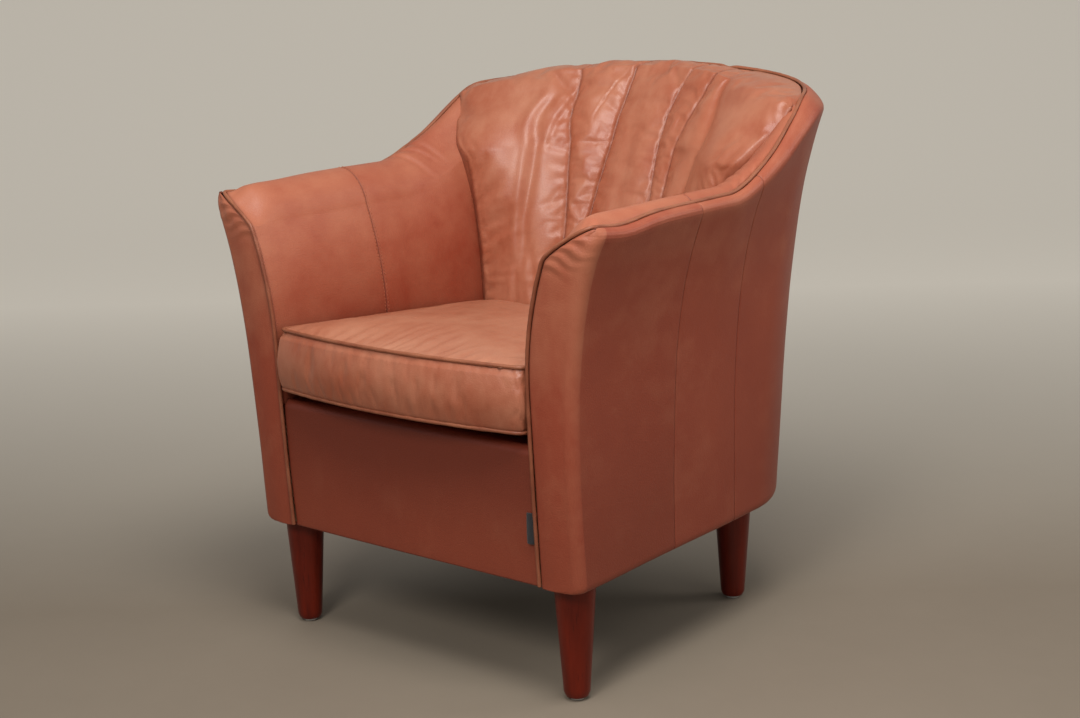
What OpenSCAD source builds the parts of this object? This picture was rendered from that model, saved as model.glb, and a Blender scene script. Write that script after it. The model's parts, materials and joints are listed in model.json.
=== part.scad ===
// Tub chair: a timber and ply frame, webbing, foam and wadding under a leather cover, a fan shaped
// back cushion, a loose piped seat cushion and four turned legs. +Z is up and the front faces -Y.
// The chair is drawn with its front at y = 0, and each sub-part is then moved so that the origin is
// on the floor under the middle of the chair.

/* [Body] */
// Height of the body's lower edge above the floor
base_z = 155; // [120:5:200]
// Height of the arms at their rim
arm_z = 613; // [590:1:650]
// Height of the rim at the middle of the back
back_top_z = 748; // [720:1:800]
// Half of the body's width at its lower edge
base_half_w = 278; // [260:1:310]
// How far each side flares out between its lower edge and the rim
arm_flare = 52; // [40:1:60]
// Depth of the body at its lower edge
base_depth = 585; // [560:5:640]
// How far the back leans out between its lower edge and the rim
back_rake = 58; // [30:1:70]
// Radius of the round corners at the back
corner_r = 180; // [160:5:190]
// Distance from the front to the first upright seam
seam_front_y = 205; // [180:5:220]
// Distance from the second upright seam to the rear of the body's lower edge
seam_rear_in = 237; // [225:1:250]
// How far the arms lean forward at mid height
front_lean = 17; // [5:1:22]

/* [Inside of the arms] */
// Thickness of an arm at its foot, from its outside to its lining
arm_wall = 62; // [56:1:73]
// How far the inside of an arm leans out below its top roll
inner_flare = 30; // [20:1:34]
// Thickness of the back from its outside to its lining
back_wall = 72; // [68:1:80]

/* [Upholstery] */
// Thickness of the leather
leather = 1.4; // [1:0.1:1.8]
// Thickness of the wadding under the outer leather
wadding = 5; // [3:0.5:6]
// Thickness of the panel boards
board = 3; // [2:0.5:4]
// Diameter of the piping
piping_d = 5.2; // [4:0.2:6]

/* [Frame] */
// Thickness of the arm and back frame timber
timber = 28; // [22:1:30]
// Thickness of the seat rails
rail_t = 18; // [15:1:20]
// Height of the side and back seat rails
rail_h = 120; // [90:5:130]
// Depth of the rim rail, from top to bottom
rim_rail_h = 34; // [26:1:40]

/* [Seat cushion] */
// Thickness of the seat cushion between its pipings
seat_thick = 80; // [60:1:100]
// Rise of the seat cushion's top between its edges
seat_crown = 20; // [8:1:28]
// Clearance between the rear of the seat cushion and the foot of the back cushion
seat_back_gap = 14; // [12:1:35]
// How far the seat cushion's front bows forward
seat_bow = 24; // [8:1:34]
// Slope of the seat towards the back, in degrees
seat_tilt = 4.5; // [2:0.5:6]

/* [Back cushion] */
// How far the cushion's face lies in front of its top at its foot
cushion_lean = 167; // [150:1:175]
// Height of the padded channels above their seams
channel_rise = 11; // [4:1:14]

/* [Legs] */
// Diameter of a leg at its top
leg_top_d = 54; // [46:1:60]
// Diameter of a leg at its foot
leg_foot_d = 33; // [26:1:40]
// Distance of the front legs from the body's sides
front_leg_in = 40; // [40:1:50]
// Distance of the front legs from the front
front_leg_y = 42; // [38:1:50]
// Distance of the back legs from the body's sides
back_leg_in = 72; // [68:1:88]
// Distance of the back legs from the rear
back_leg_rear = 129; // [120:1:145]

/* [Hidden] */
$fn = 48;

// Clearance between pieces that lie on each other
gap = 0.3;
// Length by which a cutting shape passes the face that it cuts
over = 1;
// Clearance between pieces whose facets run different ways
facet_room = 1.2;
// Clearance of the back cushion from the lining behind it
lining_gap = 2;
// Clearance of the back cushion's turned side edges from the lining
return_gap = 4;

// Places that follow from the body's width and depth
inner_half_w = base_half_w - arm_wall;
seam_rear_y = base_depth - seam_rear_in;
front_leg_x = base_half_w - front_leg_in;
back_leg_x = base_half_w - back_leg_in;
back_leg_y = base_depth - back_leg_rear;

// Layers of the outside, measured inward from the leather's face
wadding_in = leather + gap;
board_in = wadding_in + wadding + gap;
timber_in = board_in + board + gap;
rail_in = timber_in + rail_t;
frame_in = timber_in + timber;
lining_board_in = frame_in + gap;
pad_in = lining_board_in + board + gap;

// Rim: the arm's top roll starts at roll_share of the height and ends beside the piping
flare_power_share = 4;
roll_share = 0.908;
edge_share = 0.965;
edge_roll = 17;
piping_r = piping_d / 2;
piping_in = edge_roll + gap + piping_r;
inner_end_in = piping_in + piping_r + gap;
bottom_tuck = 7;
arm_puff = 8;
rim_start_y = 6;

// The rim rises from the arms to the back in a quick sweep and a slow arch
sweep_lead = 68;
sweep_run = 250;
arch_delay = 200;
sweep_start = seam_rear_y - sweep_lead;
sweep_end = sweep_start + sweep_run;
arch_start = sweep_start + arch_delay;
arch_share = 0.22;

// The front face of an arm
front_roll = 13;
front_corner_r = 15;
face_bow = 1.5;
front_roll_share = 0.9;

// The frame
former_y = 8;
former_t = 18;
frame_z = base_z + 3;
rail_top_drop = 27;
front_rail_y = former_y;
front_rail_t = 20;
block_y = front_rail_y + front_rail_t + gap;
post_station = 2.2;
post_corner_in = 30;
post_x = base_half_w - corner_r - post_corner_in;
post_w = 34;
rear_rail_in = 145;
rear_rail_y = base_depth - rear_rail_in;
rear_rail_t = 25;
rear_rail_h = 45;

// The seat deck, in the seat's own sloping plane
deck_z = 336;
webbing_t = 2;
webbing_straps = 7;
webbing_room = 12;
deck_pad_t = 10;
deck_cloth_t = leather;
deck_side_gap = 5;
deck_half_w = inner_half_w - deck_side_gap;
webbing_w = (2 * deck_half_w - (webbing_straps - 1) * webbing_room) / webbing_straps;
apron_y = 2;
apron_bend_r = 12;
apron_flap = 58;
webbing_top = -(deck_cloth_t + gap + deck_pad_t + gap);

// The seat cushion, in the same plane
seat_side_gap = 7;
seat_half_w = inner_half_w - seat_side_gap;
seat_front_y = -22;
seat_under = 17;
seat_corner_r = 44;
seat_nose_r = 12;
seat_draw = 3;
seat_bulge = 8;
seat_foot_z = seat_under + gap;
seat_top_z = seat_foot_z + seat_thick;
cord_in = 1;
cord_r = 3;
panel_in = cord_in + cord_r + gap;
zip_end_in = 15;
zip_w = 2 * (seat_half_w - seat_corner_r - zip_end_in);
zip_h = 14;
zip_t = 1.2;

// The back cushion
cushion_foot_z = 318;
cushion_over_rim = 4;
cushion_rise = back_top_z + cushion_over_rim - cushion_foot_z;
cushion_top_in = 68;
edge_drop = 48;
cushion_edge_in = 9;
cushion_top_lift = 5;
seat_len = back_y(1) - cushion_top_in - cushion_lean - seat_front_y - seat_back_gap;
channel_shares = [-1, -0.62, -0.39, -0.175, 0.175, 0.39, 0.62, 1];
channel_depth_shares = [0.7, 0.8, 1, 1, 1, 0.8, 0.7];

// Legs and fixings
glide_h = 4;
glide_d = 22;
glide_foot_d = 18;
cloth_z = base_z + 1.8;
dust_cloth_t = 0.8;
leg_top_z = cloth_z - gap;
bolt_d = 8;
bolt_clear = 0.4;
bolt_in_leg = 32;
block_h = 42;
block_w = 58;
tee_d = 22;
tee_t = 1.6;
tag_w = 10;
tag_h = 40;
tag_z = 212;

function ease(v) = let(c = max(0, min(1, v))) c * c * (3 - 2 * c);
function mix(a, b, v) = a + (b - a) * v;
function steps(n) = [for (i = [0:n]) i / n];
function flip(list) = [for (i = [len(list) - 1:-1:0]) list[i]];

// The body's outline at a share q of its height. Station t is 0 at the front, 1 at the rear seam,
// 2 where the corner ends, 3 at the middle of the back, and so on round to 6.
function half_w(q) = base_half_w + arm_flare * pow(q, flare_power_share);
function back_y(q) = base_depth + back_rake * q;
function corner_x(q) = half_w(q) - corner_r;
function corner_y(q) = back_y(q) - corner_r;
function bend_len(q) = corner_y(q) - seam_rear_y + corner_r * PI / 2;
function bend(q, run, inset) =
    let(straight = corner_y(q) - seam_rear_y, turn = (run - straight) / corner_r * 180 / PI)
    run < straight ? [half_w(q) - inset, seam_rear_y + run] :
    [corner_x(q) + (corner_r - inset) * cos(turn), corner_y(q) + (corner_r - inset) * sin(turn)];
function plan(t, q, inset) =
    t > 3 ? let(p = plan(6 - t, q, inset)) [-p[0], p[1]] :
    t <= 1 ? [half_w(q) - inset, t * seam_rear_y] :
    t <= 2 ? bend(q, (t - 1) * bend_len(q), inset) :
    [corner_x(q) * (3 - t), back_y(q) - inset];

// Length along the rim, the rim's height and the height of a share of it
function half_run(t) = t <= 1 ? t * seam_rear_y :
    t <= 2 ? seam_rear_y + (t - 1) * bend_len(1) : seam_rear_y + bend_len(1) + (t - 2) * corner_x(1);
function rim_run(t) = half_run(t > 3 ? 6 - t : t);
function rim_z(t) = let(s = rim_run(t)) arm_z + (back_top_z - arm_z) *
    ((1 - arch_share) * ease((s - sweep_start) / (sweep_end - sweep_start)) +
    arch_share * ease((s - arch_start) / (rim_run(3) - arch_start)));
function level_z(t, q) = base_z + q * (rim_z(t) - base_z);
function share_at(t, z) = (z - base_z) / (rim_z(t) - base_z);
function wall_point(t, q, inset) = let(p = plan(t, q, inset)) [p[0], p[1], level_z(t, q)];
function height_point(t, z, inset) = wall_point(t, share_at(t, z), inset);

// Outside of the body: straight up to edge_share, then rolled over towards the rim
function outer_turn(q) = q < edge_share ? 0 : asin(min(1, (q - edge_share) / (1 - edge_share)));
function outer_in(q) = q <= 0 ? bottom_tuck : edge_roll * (1 - cos(outer_turn(q)));
function outer_point(t, q, depth) = let(a = outer_turn(q), p = wall_point(t, q, outer_in(q) + depth * cos(a)))
    [p[0], p[1], p[2] - depth * sin(a)];
function edge_shares(turns) = [for (a = turns) edge_share + (1 - edge_share) * sin(a)];
wall_shares = [0.14, 0.3, 0.46, 0.6, 0.72, 0.81, 0.88, 0.93];
outer_shares = concat([0, 0.015], wall_shares, [edge_share], edge_shares([30, 60, 90]));
wadding_shares = concat([0.02], wall_shares, [edge_share], edge_shares([30, 60]));
board_shares = concat([0.012], wall_shares);

// Inside of the body: the wall leans out, then rolls over to the piping
function mirrored(t) = t > 3 ? 6 - t : t;
function rear_blend(t) = ease((mirrored(t) - 0.75) / 0.4);
function inner_x(q) = inner_half_w + inner_flare * pow(max(0, (q - 0.55) / (roll_share - 0.55)), 2);
function wall_in(t, q) = mix(half_w(q) - inner_x(q), back_wall, rear_blend(t));
function roll_bend(t) = let(u = mirrored(t)) 2 - 0.9 * (1 - ease((u + 0.03) / 0.15)) - 0.8 * rear_blend(u);
function roll_at(q) = max(0, min(1, (q - roll_share) / (1 - roll_share)));
function inner_in(t, q) = let(v = roll_at(q), n = roll_bend(t)) v <= 0 ? wall_in(t, q) :
    inner_end_in + (wall_in(t, roll_share) - inner_end_in) * pow(max(0, 1 - pow(v, n)), 1 / n);
function puff(t, q) = arm_puff * max(0, roll_bend(t) - 1.1) / 0.9 * sin(180 * roll_at(q));
function inner_point(t, q, depth) = let(a = 90 * roll_at(q),
    p = wall_point(t, q, inner_in(t, q) - depth * cos(a))) [p[0], p[1], p[2] + puff(t, q) - depth * sin(a)];
function roll_shares(t, turns) = [for (a = turns)
    roll_share + (1 - roll_share) * pow(sin(a), 2 / roll_bend(t))];
inner_foot_shares = [0.365, 0.46, 0.55, 0.64, 0.73, 0.82];

// The front of an arm, where the face ends at the piping on its inner edge
function front_y(q) = let(r = max(0, (q - front_roll_share) / (1 - front_roll_share)))
    front_roll * (1 - sqrt(max(0, 1 - r * r))) - front_lean * (1 - pow(1 - min(q, 1), 2));
function face_x(q) = half_w(q) - face_in(q);
function face_slope(q) = let(low = q - 0.004, high = min(1, q + 0.004))
    (face_x(high) - face_x(low)) / (level_z(0, high) - level_z(0, low));
function cord_room(q) = (piping_r + gap) * sqrt(1 + pow(face_slope(q), 2));
function face_in(q) = let(v = roll_at(q), n = roll_bend(0)) v <= 0 ? wall_in(0, q) :
    piping_in + (wall_in(0, roll_share) - piping_in) * pow(max(0, 1 - pow(v, n)), 1 / n);

// A closed sheet between two grids of points that have the same rows and columns
// An even grid is split into triangles the same way on both sides of its middle
function grid_faces(rows, cols, base, out, even) = [for (r = [0:rows - 2], c = [0:cols - 2])
    let(a = base + r * cols + c, b = a + 1, d = a + cols, e = d + 1, turned = even && c >= (cols - 1) / 2)
    each out ? (turned ? [[a, b, d], [b, e, d]] : [[a, b, e], [a, e, d]]) :
    (turned ? [[a, d, b], [b, d, e]] : [[a, e, b], [a, d, e]])];
function rim_loop(rows, cols) = concat([for (c = [0:cols - 1]) c],
    [for (r = [1:rows - 1]) r * cols + cols - 1],
    [for (c = [cols - 2:-1:0]) (rows - 1) * cols + c], [for (r = [rows - 2:-1:1]) r * cols]);
function loop_faces(loop, shift) = [for (i = [0:len(loop) - 1])
    let(a = loop[i], b = loop[(i + 1) % len(loop)]) each [[a, a + shift, b], [b, a + shift, b + shift]]];
module sheet(front, rear, even = false) {
    rows = len(front);
    cols = len(front[0]);
    points = concat([for (r = front, p = r) p], [for (r = rear, p = r) p]);
    closed_shape(points, concat(grid_faces(rows, cols, 0, true, even),
        grid_faces(rows, cols, rows * cols, false, even),
        loop_faces(rim_loop(rows, cols), rows * cols)));
}
function turned_grid(grid) = [for (k = [0:len(grid[0]) - 1]) [for (r = grid) r[k]]];
// A polyhedron whose faces are turned outward when they come the wrong way round
function swept_volume(points, faces) =
    let(parts = [for (f = faces) cross(points[f[0]], points[f[1]]) * points[f[2]]])
    parts * [for (v = parts) 1];
module closed_shape(points, faces) {
    inside_out = swept_volume(points, faces) > 0;
    polyhedron(points, inside_out ? [for (f = faces) [f[0], f[2], f[1]]] : faces);
}

// A tube along a path, with one fixed side vector for each of its points
function unit(v) = v / norm(v);
function heading(path, i, closed) = let(n = len(path))
    closed ? path[(i + 1) % n] - path[(i + n - 1) % n] : path[min(i + 1, n - 1)] - path[max(i - 1, 0)];
function ring(path, sides, i, radius, closed, count) = let(t = unit(heading(path, i, closed)),
    u = unit(sides[i] - t * (sides[i] * t)), w = cross(t, u))
    [for (k = [0:count - 1]) path[i] + radius * (u * cos(360 * k / count) + w * sin(360 * k / count))];
module tube(path, sides, radius, closed = false, count = 6) {
    n = len(path);
    points = [for (i = [0:n - 1]) each ring(path, sides, i, radius, closed, count)];
    last = closed ? n - 1 : n - 2;
    walls = [for (i = [0:last], k = [0:count - 1])
        let(a = i * count + k, b = i * count + (k + 1) % count,
            c = ((i + 1) % n) * count + k, d = ((i + 1) % n) * count + (k + 1) % count)
        each [[a, b, d], [a, d, c]]];
    ends = closed ? [] : concat([for (k = [1:count - 2]) [0, k + 1, k]],
        [for (k = [1:count - 2]) [(n - 1) * count, (n - 1) * count + k, (n - 1) * count + k + 1]]);
    closed_shape(points, concat(walls, ends));
}

module at_origin() {
    translate([0, -origin_y, 0]) children();
}
module mirrored_pair(left) {
    mirror([left ? 1 : 0, 0, 0]) children();
}
module seat_plane() {
    translate([0, 0, deck_z]) rotate([-seat_tilt, 0, 0]) children();
}

// A curved piece of the wall between two depths, at the stations and shares given
module wall_piece(stations, shares, outer_depth, inner_depth) {
    sheet([for (q = shares) [for (t = stations) wall_point(t, q, outer_depth)]],
        [for (q = shares) [for (t = stations) wall_point(t, q, inner_depth)]], max(stations) > 3);
}
// The same between two heights, which can follow the rim
module wall_rail(stations, low, high, outer_depth, inner_depth) {
    spots = [for (i = [0:len(stations) - 1]) i];
    sheet([for (z = [low, high]) [for (i = spots) height_point(stations[i], z[i], outer_depth)]],
        [for (z = [low, high]) [for (i = spots) height_point(stations[i], z[i], inner_depth)]],
        max(stations) > 3);
}
function over_back(list) = concat(list, [for (t = flip(list)) if (t < 3) 6 - t]);
function at_y(y) = y / seam_rear_y;
// Stations that all the layers share, so that their facets run side by side
band_y = seam_rear_y - seam_front_y;
band_stations = [for (v = [0.32, 0.54, 0.78]) at_y(seam_front_y + v * band_y)];
sweep_stations = concat([at_y(seam_front_y)], band_stations);
corner_stations = [1.1, 1.2, 1.35, 1.48, 1.61, 1.74, 1.87, 2];
back_stations = over_back(concat([1 + gap / seam_rear_y], corner_stations, [2.5, 3]));
rail_stations = concat([at_y(former_y + former_t + gap)], sweep_stations, [1 - gap / seam_rear_y]);

leather_colour = [0.64, 0.33, 0.22];
timber_colour = [0.78, 0.64, 0.44];
foam_colour = [0.93, 0.88, 0.7];
wadding_colour = [0.92, 0.92, 0.9];
board_colour = [0.6, 0.47, 0.33];
webbing_colour = [0.2, 0.19, 0.18];
mahogany_colour = [0.42, 0.13, 0.07];
steel_colour = [0.75, 0.76, 0.78];

module front_rail() {
    top = deck_z - (deck_cloth_t + deck_pad_t + webbing_t + 3 * gap) -
        (front_rail_y + front_rail_t) * tan(seat_tilt) - gap;
    reach = inner_half_w + former_foot_in - gap;
    color(timber_colour) at_origin()
        translate([-reach, front_rail_y, frame_z]) cube([2 * reach, front_rail_t, top - frame_z]);
}
former_foot_in = 5;

module side_rail(left) {
    depth = seam_rear_y - former_y - former_t - 2 * gap;
    color(timber_colour) at_origin() mirrored_pair(left)
        translate([base_half_w - rail_in, former_y + former_t + gap, frame_z]) cube([rail_t, depth, rail_h]);
}
module side_rail_left() { side_rail(true); }
module side_rail_right() { side_rail(false); }

module back_base_rail() {
    lows = [for (t = back_stations) frame_z];
    highs = [for (t = back_stations) frame_z + rail_h];
    color(timber_colour) at_origin()
        wall_rail(back_stations, lows, highs, timber_in + facet_room, frame_in - facet_room);
}

// Cross rail that carries the rear ends of the seat webbing
module seat_rear_rail() {
    rear = rear_rail_y + rear_rail_t;
    top = deck_z + webbing_top - webbing_t - rear * tan(seat_tilt) - 2 * gap;
    q = share_at(1, frame_z);
    reach = corner_x(q) + sqrt(pow(corner_r - frame_in, 2) - pow(rear - corner_y(q), 2)) - gap;
    color(timber_colour) at_origin() translate([-reach, rear_rail_y, top - rear_rail_h])
        cube([2 * reach, rear_rail_t, rear_rail_h]);
}

// Ply plate behind the front face of an arm, cut to the arm's profile
module arm_front_former(left) {
    shares = concat([0.007], wall_shares);
    front = at_y(former_y);
    rear = at_y(former_y + former_t);
    color(timber_colour) at_origin() mirrored_pair(left)
        sheet([for (t = [front, rear]) [for (q = shares) wall_point(t, q, timber_in)]],
            [for (t = [front, rear]) [for (q = shares) wall_point(t, q, face_in(q) - former_foot_in)]]);
}
module arm_front_former_left() { arm_front_former(true); }
module arm_front_former_right() { arm_front_former(false); }

module arm_top_rail(left) {
    color(timber_colour) at_origin() mirrored_pair(left) rim_rail(rail_stations);
}
module rim_rail(stations) {
    lows = [for (t = stations) rim_z(t) - rail_top_drop - rim_rail_h];
    highs = [for (t = stations) rim_z(t) - rail_top_drop];
    wall_rail(stations, lows, highs, timber_in, frame_in);
}
module arm_top_rail_left() { arm_top_rail(true); }
module arm_top_rail_right() { arm_top_rail(false); }
module back_top_rail() {
    color(timber_colour) at_origin() rim_rail(back_stations);
}

// Rail on the side rail at the foot of the inner arm, to which its leather and board are tacked
module arm_tack_rail(left) {
    foot = frame_z + rail_h + gap;
    top = level_z(0, inner_foot_shares[0]) - gap;
    inner = inner_half_w + leather + gap;
    color(timber_colour) at_origin() mirrored_pair(left)
        translate([inner, block_y, foot])
        cube([base_half_w - rail_in - inner + rail_t, seam_rear_y - block_y - gap, top - foot]);
}
module arm_tack_rail_left() { arm_tack_rail(true); }
module arm_tack_rail_right() { arm_tack_rail(false); }

// Post between the base rail and the rim rail, following the rake of the back
module back_post(left) {
    sides = [post_x + post_w, post_x];
    low = frame_z + rail_h + gap;
    shares = [for (v = steps(5)) mix(share_at(post_station, low),
        share_at(post_station, rim_z(post_station) - rail_top_drop - rim_rail_h - gap), v)];
    color(timber_colour) at_origin() mirrored_pair(left)
        sheet([for (q = shares) [for (x = sides) post_point(q, x, timber_in + facet_room)]],
            [for (q = shares) [for (x = sides) post_point(q, x, frame_in - facet_room)]]);
}
function post_point(q, x, inset) = [x, back_y(q) - inset, level_z(post_station, q)];
module back_post_left() { back_post(true); }
module back_post_right() { back_post(false); }

// Corner blocks that take the legs, bored for the bolts
module corner_blocks() {
    q = 0;
    color(timber_colour) at_origin() for (left = [true, false]) mirrored_pair(left) {
        difference() {
            translate([base_half_w - rail_in - gap - block_w, block_y, frame_z])
                cube([block_w, block_w, block_h]);
            leg_bore(front_leg_x, front_leg_y);
        }
        difference() {
            intersection() {
                translate([back_leg_x - block_w, back_leg_y - block_w, frame_z])
                    cube([2 * block_w, 2 * block_w, block_h]);
                translate([corner_x(q), corner_y(q), frame_z])
                    cylinder(r = corner_r - frame_in - gap - facet_room / 2, h = block_h, $fn = 96);
            }
            leg_bore(back_leg_x, back_leg_y);
        }
    }
}
module leg_bore(x, y) {
    translate([x, y, frame_z - over]) cylinder(d = bolt_d + 2 * bolt_clear, h = block_h + 2 * over);
}

board_front_y = former_y + board + wadding + 2 * gap;
side_stations = concat([at_y(board_front_y)], sweep_stations, [1 - gap / seam_rear_y]);
module outer_board(left) {
    color(board_colour) at_origin() mirrored_pair(left)
        wall_piece(side_stations, board_shares, board_in, board_in + board);
}
module outer_board_left() { outer_board(true); }
module outer_board_right() { outer_board(false); }
module back_board() {
    color(board_colour) at_origin() wall_piece(back_stations, board_shares, board_in, board_in + board);
}

module inner_arm_board(left) {
    color(board_colour) at_origin() mirrored_pair(left)
        wall_piece(rail_stations, inner_foot_shares, lining_board_in, lining_board_in + board);
}
module inner_arm_board_left() { inner_arm_board(true); }
module inner_arm_board_right() { inner_arm_board(false); }

// Upright straps on the inner side of the back frame
module back_webbing() {
    half = [[1.2, 1.35], [1.61, 1.74], [2.1, 2.4]];
    spans = concat(half, [[2.84, 3.16]], [for (s = half) [6 - s[1], 6 - s[0]]]);
    shares = concat([0.1, 0.24], inner_foot_shares, [0.87]);
    color(webbing_colour) at_origin() for (s = spans)
        wall_piece(s, shares, pad_in - gap - webbing_t, pad_in - gap);
}

// Straps from the front rail to the rear cross rail
module seat_webbing() {
    pitch = webbing_w + webbing_room;
    color(webbing_colour) at_origin() seat_plane() for (i = [0:webbing_straps - 1])
        translate([-deck_half_w + i * pitch, front_rail_y, webbing_top - webbing_t])
        cube([webbing_w, rear_rail_y + rear_rail_t - front_rail_y, webbing_t]);
}

module deck_pad() {
    start = apron_y + apron_bend_r + gap;
    color(foam_colour) at_origin() seat_plane()
        translate([-deck_half_w, start, -deck_cloth_t - gap - deck_pad_t])
        cube([2 * deck_half_w, rear_rail_y - start, deck_pad_t]);
}
module deck_cloth() {
    start = apron_y + apron_flap + gap;
    color(webbing_colour) at_origin() seat_plane() translate([-deck_half_w, start, -deck_cloth_t])
        cube([2 * deck_half_w, rear_rail_y - start, deck_cloth_t]);
}

// Foam on the inside of an arm and over its top rail
puff_ys = [42, 100];
pad_rail_shares = [0.25, 0.62, 0.95];
function pad_front(t) = concat([for (q = inner_foot_shares) inner_point(t, q, leather + gap)],
    [for (q = roll_shares(t, [0, 22, 44, 62, 78])) inner_point(t, q, leather + gap)]);
function pad_rear(t) = let(top = rim_z(t) - rail_top_drop + facet_room, q = share_at(t, top))
    concat([for (q = inner_foot_shares) wall_point(t, q, pad_in)],
    [wall_point(t, mix(inner_foot_shares[5], q, 0.5), pad_in), wall_point(t, q, pad_in)],
    [for (s = pad_rail_shares) wall_point(t, q, mix(pad_in, timber_in + edge_roll / 2, s))]);
module pad(stations) {
    sheet(turned_grid([for (t = stations) pad_front(t)]), turned_grid([for (t = stations) pad_rear(t)]),
        max(stations) > 3);
}
module arm_pad(left) {
    stations = concat([at_y(former_y + former_t + gap)], [for (y = puff_ys) at_y(y)], sweep_stations,
        [1 - gap / seam_rear_y]);
    color(foam_colour) at_origin() mirrored_pair(left) pad(stations);
}
module arm_pad_left() { arm_pad(true); }
module arm_pad_right() { arm_pad(false); }
module back_pad() {
    color(foam_colour) at_origin() pad(back_stations);
}

// Foam between the ply plate and the leather of an arm's front face
module front_pad(left) {
    shares = concat([0.015], wall_shares);
    spans = [0, 0.5, 1];
    color(foam_colour) at_origin() mirrored_pair(left)
        sheet([for (q = shares) [for (s = spans) face_point(q, s, leather + gap + face_bow * s)]],
            [for (q = shares) [for (s = spans) face_point(q, s, former_y - gap - front_y(q))]]);
}
function face_point(q, s, depth) = [half_w(q) - mix(face_in(q) - former_foot_in, front_corner_r + gap, s),
    front_y(q) + depth, level_z(0, q)];
module front_pad_left() { front_pad(true); }
module front_pad_right() { front_pad(false); }

module outer_wadding() {
    stations = over_back(concat([at_y(board_front_y)], sweep_stations, [1], corner_stations, [2.5, 3]));
    color(wadding_colour) at_origin()
        sheet([for (q = wadding_shares) [for (t = stations) outer_point(t, q, wadding_in)]],
            [for (q = wadding_shares) [for (t = stations) outer_point(t, q, wadding_in + wadding)]], true);
}

// Leather of an arm's front face, carried round its soft corner to the first side seam
face_shares = [0, 0.4, 1];
function cover_row(q, depth) = let(a = outer_turn(q), rim = outer_in(q),
    edge = max(face_in(q) - cord_room(q), rim), corner = min(front_corner_r, (edge - rim) / 2),
    y0 = front_y(q), y1 = y0 + face_bow + front_corner_r,
    flat = depth * cos(a), z = level_z(0, q) - depth * sin(a))
    concat(
    [for (s = face_shares) [half_w(q) - mix(edge, rim + corner, s), y0 + face_bow * s + flat, z]],
    [for (turn = [30, 60]) [half_w(q) - rim - corner * (1 - sin(turn)) - flat * sin(turn),
        y0 + face_bow + front_corner_r * (1 - cos(turn)) + flat * cos(turn), z]],
    [for (v = steps(4)) [half_w(q) - rim - flat, mix(y1, seam_front_y - gap / 2, v), z]]);
module arm_cover(left) {
    color(leather_colour) at_origin() mirrored_pair(left)
        sheet([for (q = outer_shares) cover_row(q, 0)], [for (q = outer_shares) cover_row(q, leather)]);
}
module arm_cover_left() { arm_cover(true); }
module arm_cover_right() { arm_cover(false); }

module outer_leather(stations) {
    sheet([for (q = outer_shares) [for (t = stations) outer_point(t, q, 0)]],
        [for (q = outer_shares) [for (t = stations) outer_point(t, q, leather)]], max(stations) > 3);
}
module side_band(left) {
    color(leather_colour) at_origin() mirrored_pair(left)
        outer_leather(concat([at_y(seam_front_y + gap / 2)], band_stations, [1 - gap / 2 / seam_rear_y]));
}
module side_band_left() { side_band(true); }
module side_band_right() { side_band(false); }
module back_cover() {
    color(leather_colour) at_origin() outer_leather(back_stations);
}

// Leather of the inside of an arm, from the front piping over the top to the rim piping
lining_turns = [0, 22, 44, 62, 78, 90];
function lining_row(t, depth) = concat([for (q = inner_foot_shares) inner_point(t, q, depth)],
    [for (q = roll_shares(t, lining_turns)) inner_point(t, q, depth)]);
function lining_share(t, k) = k < len(inner_foot_shares) ? inner_foot_shares[k] :
    roll_shares(t, [lining_turns[k - len(inner_foot_shares)]])[0];
function front_lining(k, depth) = let(
    start = front_y(lining_share(0, k)) + piping_r + gap,
    ys = concat([start, mix(start, puff_ys[0], 0.25), former_y + former_t + gap], puff_ys,
        [seam_front_y - gap / 2]))
    [for (y = ys) inner_point(at_y(y), lining_share(at_y(y), k), depth)];
module inner_arm_front(left) {
    rows = [for (k = [0:len(inner_foot_shares) + len(lining_turns) - 1]) k];
    color(leather_colour) at_origin() mirrored_pair(left)
        sheet([for (k = rows) front_lining(k, leather)], [for (k = rows) front_lining(k, 0)]);
}
module inner_arm_front_left() { inner_arm_front(true); }
module inner_arm_front_right() { inner_arm_front(false); }
module inner_arm_rear(left) {
    stations = concat([at_y(seam_front_y + gap / 2)], band_stations,
        [1], [for (i = [0:3]) corner_stations[i]]);
    color(leather_colour) at_origin() mirrored_pair(left)
        sheet(turned_grid([for (t = stations) lining_row(t, leather)]),
            turned_grid([for (t = stations) lining_row(t, 0)]));
}
module inner_arm_rear_left() { inner_arm_rear(true); }
module inner_arm_rear_right() { inner_arm_rear(false); }

// Leather below the seat cushion, turned over the front of the deck
function arc_points(cy, cz, r) = [for (a = [180:-15:90]) [cy + r * cos(a), cz + r * sin(a)]];
module apron() {
    y0 = apron_y;
    cy = y0 + apron_bend_r;
    top = deck_z - cy * tan(seat_tilt);
    cz = top - apron_bend_r;
    y1 = apron_y + apron_flap;
    end = deck_z - y1 * tan(seat_tilt);
    outline = concat([[y0, base_z + gap]], arc_points(cy, cz, apron_bend_r), [[y1, end], [y1, end - leather]],
        flip(arc_points(cy, cz, apron_bend_r - leather)), [[y0 + leather, base_z + gap]]);
    reach = inner_half_w - piping_r - gap;
    color(leather_colour) at_origin() translate([-reach, 0, 0]) rotate([90, 0, 90])
        linear_extrude(2 * reach) polygon(outline);
}

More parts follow.
